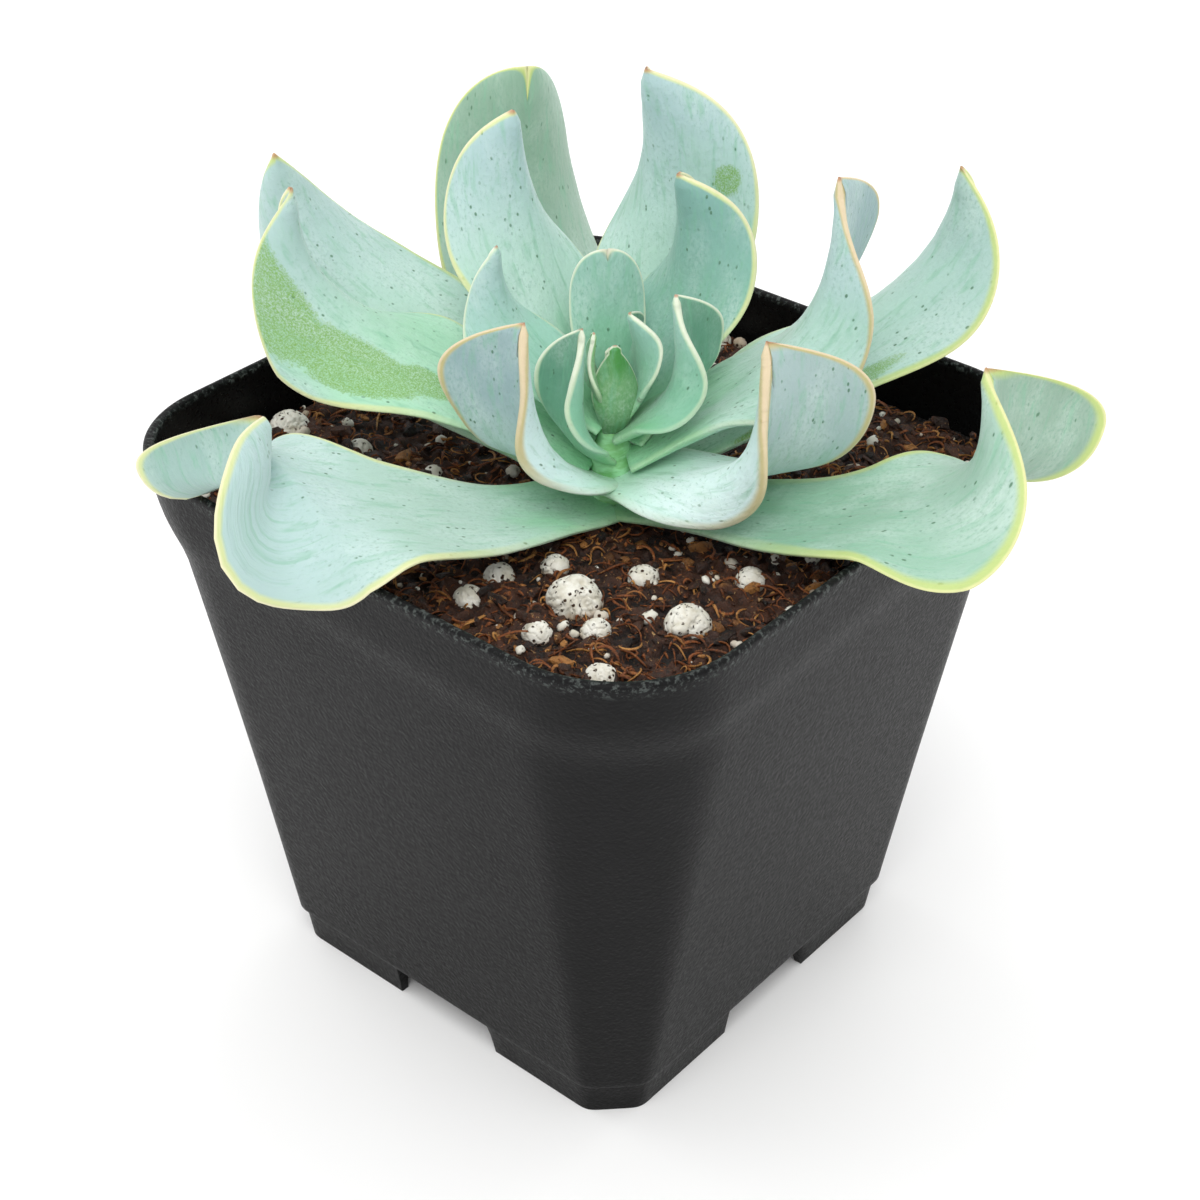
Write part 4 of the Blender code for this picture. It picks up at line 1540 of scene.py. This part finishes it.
LEAVES: tuple[Leaf, ...] = (
    Leaf("leaf_outer_front_left", heading=262, attach=1.8, leaves_at=10, straight=36, reach=-0.8, top=6,
         ends_at=126, bend=22, half_width=15, left=Side(fold=78, width=1.18, widest=0.75),
         right=Side(fold=85, width=1.35, widest=0.89, slender=3.5), crease=0.1, curl_from=0.58, curl_to=0.95,
         widest=0.8, neck=0.34, stations=220, sweep=-16, base_roll=-10, tip_roll=-24, on_rim=True,
         finish=LeafFinish(Margin.CREAM, margin_width=1.2, middle=(174, 206, 192), end=(180, 206, 206), seed=1)),
    Leaf("leaf_outer_right", heading=9, attach=1.8, leaves_at=12, straight=34, reach=5.5, top=28, ends_at=114,
         bend=24, half_width=15, left=Side(fold=85, width=1.35, widest=0.88, slender=3.5),
         right=Side(fold=78, width=1.1, widest=0.73, slender=1.3), crease=0.1, curl_from=0.56, widest=0.8,
         neck=0.34, stations=220, sweep=12, base_roll=8, tip_roll=14, on_rim=True,
         # Painted shade: this leaf's darker base and middle colours stand in for its base lying in shadow.
         finish=LeafFinish(Margin.LIME, margin_width=1.7, base=(122, 184, 134), middle=(142, 188, 162),
                           end=(166, 196, 182), scoop_shade=(140, 170, 152), seed=2)),
    Leaf("leaf_outer_back_left", heading=150, attach=2.0, leaves_at=18, straight=36, reach=46, top=42.5,
         ends_at=84, bend=20, half_width=14, left=Side(fold=45), tip_shape=0.6, sweep=-3, widest=0.76, notch=5,
         finish=LeafFinish(Margin.LIME, margin_width=0.6, middle=(160, 192, 174), end=(136, 170, 148),
                           point=0.0, seed=3),
         rubs=(Rub(0.36, 0.3, 0.08, 0.35, 0.6),)),
    Leaf("leaf_outer_back_right", heading=65, attach=4.6, leaves_at=18, straight=34, reach=53.3, top=42,
         ends_at=100, bend=18, half_width=12.5, left=Side(fold=95), right=Side(fold=40),
         finish=LeafFinish(Margin.LIME, margin_width=1.2, end=(166, 196, 190), seed=4),
         rubs=(Rub(0.35, -0.75, 0.30, 0.22, 0.9),)),
    Leaf("leaf_outer_left", heading=188, attach=4.6, leaves_at=24, straight=34, reach=57, top=40, ends_at=90,
         bend=18, half_width=13.5, left=Side(fold=100, width=1.3, widest=0.72), right=Side(fold=50, width=0.9),
         base_roll=-14, tip_roll=-34,
         finish=LeafFinish(Margin.LIME, margin_width=1.0, seed=5),
         rubs=(Rub(0.45, 0.1, 0.16, 0.5, 0.65), Rub(0.3, 0.2, 0.12, 0.5, 0.5))),
    Leaf("leaf_front_right", heading=358, attach=5.8, leaves_at=22, straight=15, reach=26, top=35.5,
         ends_at=100, bend=24, half_width=13, left=Side(fold=30, width=1.15, widest=0.76),
         right=Side(fold=118, width=0.62, widest=0.42), relax=0.5, curl_from=0.1, curl_to=0.6, base_roll=8,
         tip_roll=-20,
         # Painted light: this leaf's pale base and middle colours stand in for its flank facing the light.
         finish=LeafFinish(Margin.TAN, margin_width=1.3, base=(186, 228, 206), middle=(216, 240, 238),
                           scoop_shade=(164, 186, 186), seed=6)),
    Leaf("leaf_right", heading=47, attach=8.5, leaves_at=28, straight=24, reach=29.5, top=48.5, ends_at=96,
         bend=24, half_width=12.5, left=Side(fold=28, width=1.2, widest=0.76), right=Side(fold=112, widest=0.5),
         relax=0.5, curl_from=0.25, curl_to=0.7, tip_roll=-20,
         finish=LeafFinish(Margin.TAN, margin_width=0.8, **BLUE, seed=7)),
    Leaf("leaf_front_left", heading=266, attach=5.6, leaves_at=24, straight=8, reach=16.5, top=35, ends_at=98,
         bend=19, half_width=10.5, thickness=2.6, left=Side(fold=112, width=0.6, widest=0.42),
         right=Side(fold=45, width=1.1, widest=0.76), relax=0.5, curl_from=0.1, curl_to=0.6,
         # Painted light: this leaf's pale base and middle colours stand in for its flank facing the light.
         finish=LeafFinish(Margin.TAN, margin_width=1.0, base=(180, 224, 200), middle=(208, 234, 232),
                           end=(176, 200, 204), scoop_shade=(146, 172, 176), seed=8)),
    Leaf("leaf_back", heading=107, attach=6.9, leaves_at=38, straight=30, reach=22.6, top=55.8, ends_at=108,
         bend=22, half_width=12.5, left=Side(fold=110), right=Side(fold=40), sweep=5,
         finish=LeafFinish(Margin.CREAM, margin_width=0.7, **BLUE, seed=9),
         rubs=(Rub(0.70, -0.66, 0.05, 0.22, 0.8),)),
    Leaf("leaf_left", heading=205, attach=7.4, leaves_at=26, straight=32, reach=45, top=43, ends_at=100,
         bend=20, half_width=12, left=Side(fold=92, width=1.1, widest=0.68),
         right=Side(fold=100, width=0.55, widest=0.8), base_roll=-12, tip_roll=-14,
         finish=LeafFinish(Margin.CREAM, margin_width=0.8, middle=(166, 214, 184), seed=10),
         rubs=(Rub(0.58, 0.55, 0.20, 0.42), Rub(0.80, 0.62, 0.20, 0.50), Rub(0.42, 0.35, 0.10, 0.3, 0.8))),
    Leaf("leaf_back_left", heading=165, attach=10.0, leaves_at=42, straight=24, reach=24, top=51, ends_at=100,
         bend=18, half_width=10.5, left=Side(fold=60), right=Side(fold=105),
         finish=LeafFinish(Margin.CREAM, margin_width=0.7, **BLUE, seed=11)),
    Leaf("leaf_inner_back", heading=88, attach=10.3, leaves_at=42, straight=18, reach=15, top=45, ends_at=108,
         bend=16, half_width=10, thickness=2.6, left=Side(fold=110), right=Side(fold=45), sweep=2,
         finish=LeafFinish(Margin.CREAM, margin_width=0.7, middle=(132, 182, 164), end=(126, 170, 162),
                           seed=12)),
    Leaf("leaf_heart_left", heading=262, attach=8.8, leaves_at=34, straight=8, reach=5.5, top=30, ends_at=96,
         bend=11, half_width=6.2, thickness=1.9, left=Side(fold=105, width=0.65, widest=0.5),
         right=Side(fold=50), relax=0.4, curl_from=0.15, curl_to=0.6, tip_roll=-10, wave=0.15,
         finish=LeafFinish(Margin.WHITE, margin_width=0.6, **YOUNG, seed=13)),
    Leaf("leaf_inner_right", heading=29, attach=12.0, leaves_at=32, straight=10, reach=8.5, top=34, ends_at=98,
         bend=13, half_width=8.2, thickness=2.2, left=Side(fold=45),
         right=Side(fold=105, width=0.75, widest=0.5), relax=0.4, curl_from=0.15, curl_to=0.6, tip_roll=-12,
         wave=0.15,
         finish=LeafFinish(Margin.WHITE, margin_width=0.6, **YOUNG, seed=14)),
    Leaf("leaf_inner_left", heading=197, attach=13.4, leaves_at=34, straight=14, reach=17.0, top=37,
         ends_at=100, bend=12, half_width=7.4, thickness=2.2, left=Side(fold=90, widest=0.6),
         right=Side(fold=80, width=0.8), base_roll=-15, tip_roll=-15, wave=0.15,
         finish=LeafFinish(Margin.WHITE, margin_width=0.6, middle=(160, 208, 190), end=(164, 196, 194),
                           seed=15)),
    Leaf("leaf_heart_back", heading=135, attach=12.2, leaves_at=60, straight=10, reach=9, top=34, ends_at=88,
         bend=8, half_width=5.3, thickness=2.0, left=Side(fold=30), right=Side(fold=30), tip_shape=0.6,
         notch=1.5, widest=0.74, wave=0.12,
         finish=LeafFinish(Margin.WHITE, margin_width=0.5, **YOUNG, point=0.2, seed=16)),
    Leaf("leaf_bud_front", heading=325, attach=12.4, leaves_at=65, straight=6, reach=1.2, top=26.2, ends_at=98,
         bend=5, half_width=3.4, thickness=1.4, left=Side(fold=-45), right=Side(fold=-45), tip_shape=1.25,
         widest=0.5, channel=35, wave=0.0,
         finish=LeafFinish(Margin.WHITE, margin_width=0.3, **BUD, seed=17)),
    Leaf("leaf_heart_right", heading=64, attach=14.0, leaves_at=50, straight=8, reach=2.5, top=30, ends_at=104,
         bend=8, half_width=5, thickness=1.7, left=Side(fold=55), right=Side(fold=55), tip_roll=-10, wave=0.1,
         finish=LeafFinish(Margin.WHITE, margin_width=0.5, **YOUNG, seed=18)),
    Leaf("leaf_bud_left", heading=222, attach=14.6, leaves_at=65, straight=6, reach=2.5, top=27.5, ends_at=98,
         bend=6, half_width=3.4, thickness=1.4, left=Side(fold=20), right=Side(fold=20), tip_shape=1.25,
         widest=0.5, wave=0.0,
         finish=LeafFinish(Margin.WHITE, margin_width=0.35, **BUD, seed=19)),
    Leaf("leaf_bud_tip", heading=150, attach=15.8, leaves_at=85, straight=4, reach=0.6, top=25, ends_at=92,
         bend=4, half_width=1.8, thickness=1.1, left=Side(fold=-30), right=Side(fold=-30), tip_shape=1.25,
         widest=0.5, channel=35, wave=0.0,
         finish=LeafFinish(Margin.WHITE, margin_width=0.3, **BUD, seed=20)),
)


@dataclass(frozen=True)
class Rosette:
    """The plant: a short stem and its leaves, where they stand in the pot."""

    middle: Array
    plant_x: float = 7.5
    plant_y: float = -4.2
    level: float = 82.0
    rim_half: float = 50.0
    rim_height: float = 91.0
    stem_low: float = 3.6
    stem_high: float = 0.9
    stem_straight: float = 6.0
    stem_height: float = 16.0

    @property
    def stem_at(self) -> Array:
        """The stem's axis at the pot's underside."""
        return np.array([self.plant_x, self.plant_y, 0.0])

    def stem_radius(self, height: float) -> float:
        """The stem's radius at a height above the soil."""
        share = np.clip((height - self.stem_straight) / (self.stem_height - self.stem_straight), 0, 1)
        return float(self.stem_low + (self.stem_high - self.stem_low) * share)

    def rim_distance(self, heading: float) -> float:
        """How far the pot's outer wall is from the stem along a heading.

        Args:
            heading: degrees from the X axis.

        Returns:
            The distance in millimetres.
        """
        angle = np.radians(heading)
        direction = np.array([np.cos(angle), np.sin(angle)])
        wall = np.copysign(self.rim_half, direction)
        return float(np.min((wall - self.stem_at[:2]) / direction))

    def build_stem(self) -> bpy.types.Object:
        """The stem: a turned profile with a swelling at each leaf base, closed at both ends.

        Returns:
            The stem.
        """
        rows, columns, below, above = 34, 32, 3.0, 0.6
        heights = np.linspace(-below, self.stem_height + above, rows)
        radius = np.array([self.stem_radius(height) for height in heights])
        radius = radius * (1 + 0.06 * np.sin(heights * 2.6)) * np.where(heights > self.stem_height, 0.5, 1)
        around = np.linspace(0, 2 * np.pi, columns, endpoint=False)
        uneven = 1 + 0.04 * np.sin(5 * around)[None] * np.cos(heights * 1.4)[:, None]
        ring = np.stack([
            self.plant_x + radius[:, None] * uneven * np.cos(around),
            self.plant_y + radius[:, None] * uneven * np.sin(around),
            np.broadcast_to((self.level + heights)[:, None], (rows, columns)),
        ], -1)
        points = np.concatenate([ring.reshape(-1, 3), [ring[0].mean(0)], [ring[-1].mean(0)]])
        first, total = np.arange(columns), rows * columns
        triangles = np.concatenate([fan(total, first, False), fan(total + 1, first + total - columns, True)])
        return mesh_object("stem_core", points * MM + self.middle, tube_faces(rows, columns), triangles,
                           StemFinish().build("stem_green"))


# ---------------------------------------------------------------- bark


@dataclass(frozen=True)
class BarkChip:
    """A flat chip of bark: a rounded slab with splintered ends, in its node's place."""

    low: Array
    high: Array
    half_size: tuple[float, float, float] = (3.2, 2.1, 0.9)
    proud: float = 0.7
    angle: float = 0.6
    squareness: float = 0.55

    def build(self) -> bpy.types.Object:
        """The chip: a superellipsoid, roughened by noise that is stretched along its grain.

        Returns:
            The chip.
        """
        points, faces = ball(SMOOTH_SPLITS)
        square = np.sign(points) * np.abs(points) ** self.squareness
        rough = noise(points * np.array([2.0, 7.0, 7.0]), 1.0, 71, 3)
        shape = square * (0.86 + 0.16 * rough)[:, None]
        cosine, sine = np.cos(self.angle), np.sin(self.angle)
        turn = np.array([[cosine, sine, 0], [-sine, cosine, 0], [0, 0, 1.0]])
        size = np.array(self.half_size) * MM
        centre = (self.low + self.high) / 2 + np.array([0, 0, self.proud * MM])
        return mesh_object("bark_piece", (shape * size) @ turn + centre, NO_QUADS, faces,
                           BarkFinish().build("dry_bark"))


# ---------------------------------------------------------------- studio


@dataclass(frozen=True)
class SoftSun:
    """A large soft light, far off in the direction `toward`, and `spread` degrees wide."""

    name: str
    toward: tuple[float, float, float]
    strength: float
    spread: float
    tint: Color = (1, 1, 1)

    def build(self, middle: Array) -> None:
        """Adds the light to the scene, turned to shine at the middle.

        Args:
            middle: the middle of the pot's underside.
        """
        data = bpy.data.lights.new(self.name, "SUN")
        data.angle = float(np.radians(self.spread))
        data.energy = self.strength
        data.color = self.tint
        made = bpy.data.objects.new(self.name, data)
        bpy.context.scene.collection.objects.link(made)
        made.location = Vector(middle) + Vector(self.toward)
        made.rotation_euler = (-Vector(self.toward)).to_track_quat("-Z", "Y").to_euler()


@dataclass(frozen=True)
class Studio:
    """The floor, the soft lights and the camera round the pot's middle. Lengths are in metres."""

    middle: Array
    floor_flat: float = 2.0
    floor_arc: float = 3.0
    floor_drop: float = 0.00005
    floor_tone: Color = (0.95, 0.95, 0.95)
    world_strength: float = 0.80
    suns: tuple[SoftSun, ...] = (
        SoftSun("key", (0.30, -0.42, 0.80), 1.25, 38.0, (1.0, 0.995, 0.98)),
        SoftSun("fill", (-0.70, -0.15, 0.60), 0.50, 50.0),
        SoftSun("back", (-0.10, 0.70, 0.60), 0.35, 50.0),
    )
    lens: float = 66.82
    camera_at: tuple[float, float, float] = (0.1791, -0.2089, 0.2487)
    looks_at: tuple[float, float, float] = (-0.0172, 0.0224, 0.0412)
    roll: float = 0.18
    sensor: float = 36.0
    near: float = 0.01

    def build_floor(self) -> bpy.types.Object:
        """A plain pale floor, level with the pot's feet, which sweeps up far away on every side.

        Its profile is flat to `floor_flat`, then a circle's arc of radius `floor_arc`, turned about
        the vertical.

        Returns:
            The floor.
        """
        columns = 96
        turn = np.linspace(0, np.radians(65), 14)
        reach = np.concatenate([[0.3, 0.8, 1.4], self.floor_flat + self.floor_arc * np.sin(turn)])
        height = np.concatenate([[0, 0, 0], self.floor_arc * (1 - np.cos(turn))]) - self.floor_drop
        around = np.linspace(0, 2 * np.pi, columns, endpoint=False)
        rings = np.stack([reach[:, None] * np.cos(around), reach[:, None] * np.sin(around),
                          np.broadcast_to(height[:, None], (len(reach), columns))], -1)
        points = np.concatenate([rings.reshape(-1, 3), [[0.0, 0.0, height[0]]]])
        made = Shader("pale_floor")
        made.set(Base_Color=self.floor_tone, Roughness=0.9, Specular_IOR_Level=0.1)
        quads = tube_faces(len(reach), columns)[:, ::-1]
        return mesh_object("floor", points, quads, fan(len(points) - 1, np.arange(columns), True), made.material)

    def build(self) -> None:
        """The world, the lights and the camera."""
        scene = bpy.context.scene
        world = bpy.data.worlds.new("studio")
        world.use_nodes = True
        backdrop = world.node_tree.nodes["Background"].inputs
        backdrop["Color"].default_value = (1.0, 1.0, 1.0, 1.0)
        backdrop["Strength"].default_value = self.world_strength
        scene.world = world
        scene.view_settings.view_transform = "Standard"
        scene.view_settings.look = "None"
        for sun in self.suns:
            sun.build(self.middle)
        data = bpy.data.cameras.new("camera")
        data.lens = self.lens
        data.sensor_width = self.sensor
        data.clip_start = self.near
        camera = bpy.data.objects.new("camera", data)
        scene.collection.objects.link(camera)
        place = Vector(self.middle) + Vector(self.camera_at)
        aim = Vector(self.middle) + Vector(self.looks_at)
        camera.location = place
        turn = (aim - place).to_track_quat("-Z", "Y").to_matrix().to_4x4()
        camera.matrix_world = Matrix.Translation(place) @ turn @ Matrix.Rotation(np.radians(self.roll), 4, "Z")
        scene.camera = camera


# ---------------------------------------------------------------- the whole


def seat(piece: bpy.types.Object, slot: str, *nodes: str) -> None:
    """Makes a piece ride on the root and stand for CAD nodes.

    Args:
        piece: the new piece.
        slot: not used.
        nodes: the nodes that it replaces.
    """
    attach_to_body(piece, "root")
    if nodes:
        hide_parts(*nodes)
    LOG.info("%s: %d faces", piece.name, len(piece.data.polygons))


def dress(node: bpy.types.Object, material: bpy.types.Material) -> None:
    """Gives a carried-over CAD node a better material."""
    node.data.materials.clear()
    node.data.materials.append(material)


def main() -> None:
    """Builds every sub-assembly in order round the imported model."""
    logging.basicConfig(level=logging.INFO, format="%(message)s")
    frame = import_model()
    low, high = (np.array(corner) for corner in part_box("pot"))
    middle = np.array([(low[0] + high[0]) / 2, (low[1] + high[1]) / 2, low[2]])
    studio = Studio(middle)
    studio.build()
    studio.build_floor()
    seat(Pot(middle).build(), "pot", "pot")
    soil = Soil(middle)
    dress(frame["nodes"]["soil"], MixFinish().build("packed_mix"))
    seat(soil.build_top(), "soil")
    seat(soil.build_crumbs(), "soil")
    seat(soil.build_fibres(), "soil")
    seat(soil.build_bits(), "perlite")
    perlite = PerliteFinish().build("perlite")
    for name in sorted(key for key in frame["nodes"] if key.startswith("perlite_")):
        low, high = (np.array(corner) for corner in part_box(name))
        seat(Grain(low, high, int(name[-2:]), perlite).build(), "perlite", name)
    seat(BarkChip(*(np.array(corner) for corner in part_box("bark_chip"))).build(), "bark", "bark_chip")
    rosette = Rosette(middle)
    seat(rosette.build_stem(), "stem", "stem")
    for leaf in LEAVES:
        seat(leaf.build(rosette), "leaf", leaf.name)


if __name__ == "__main__":
    main()
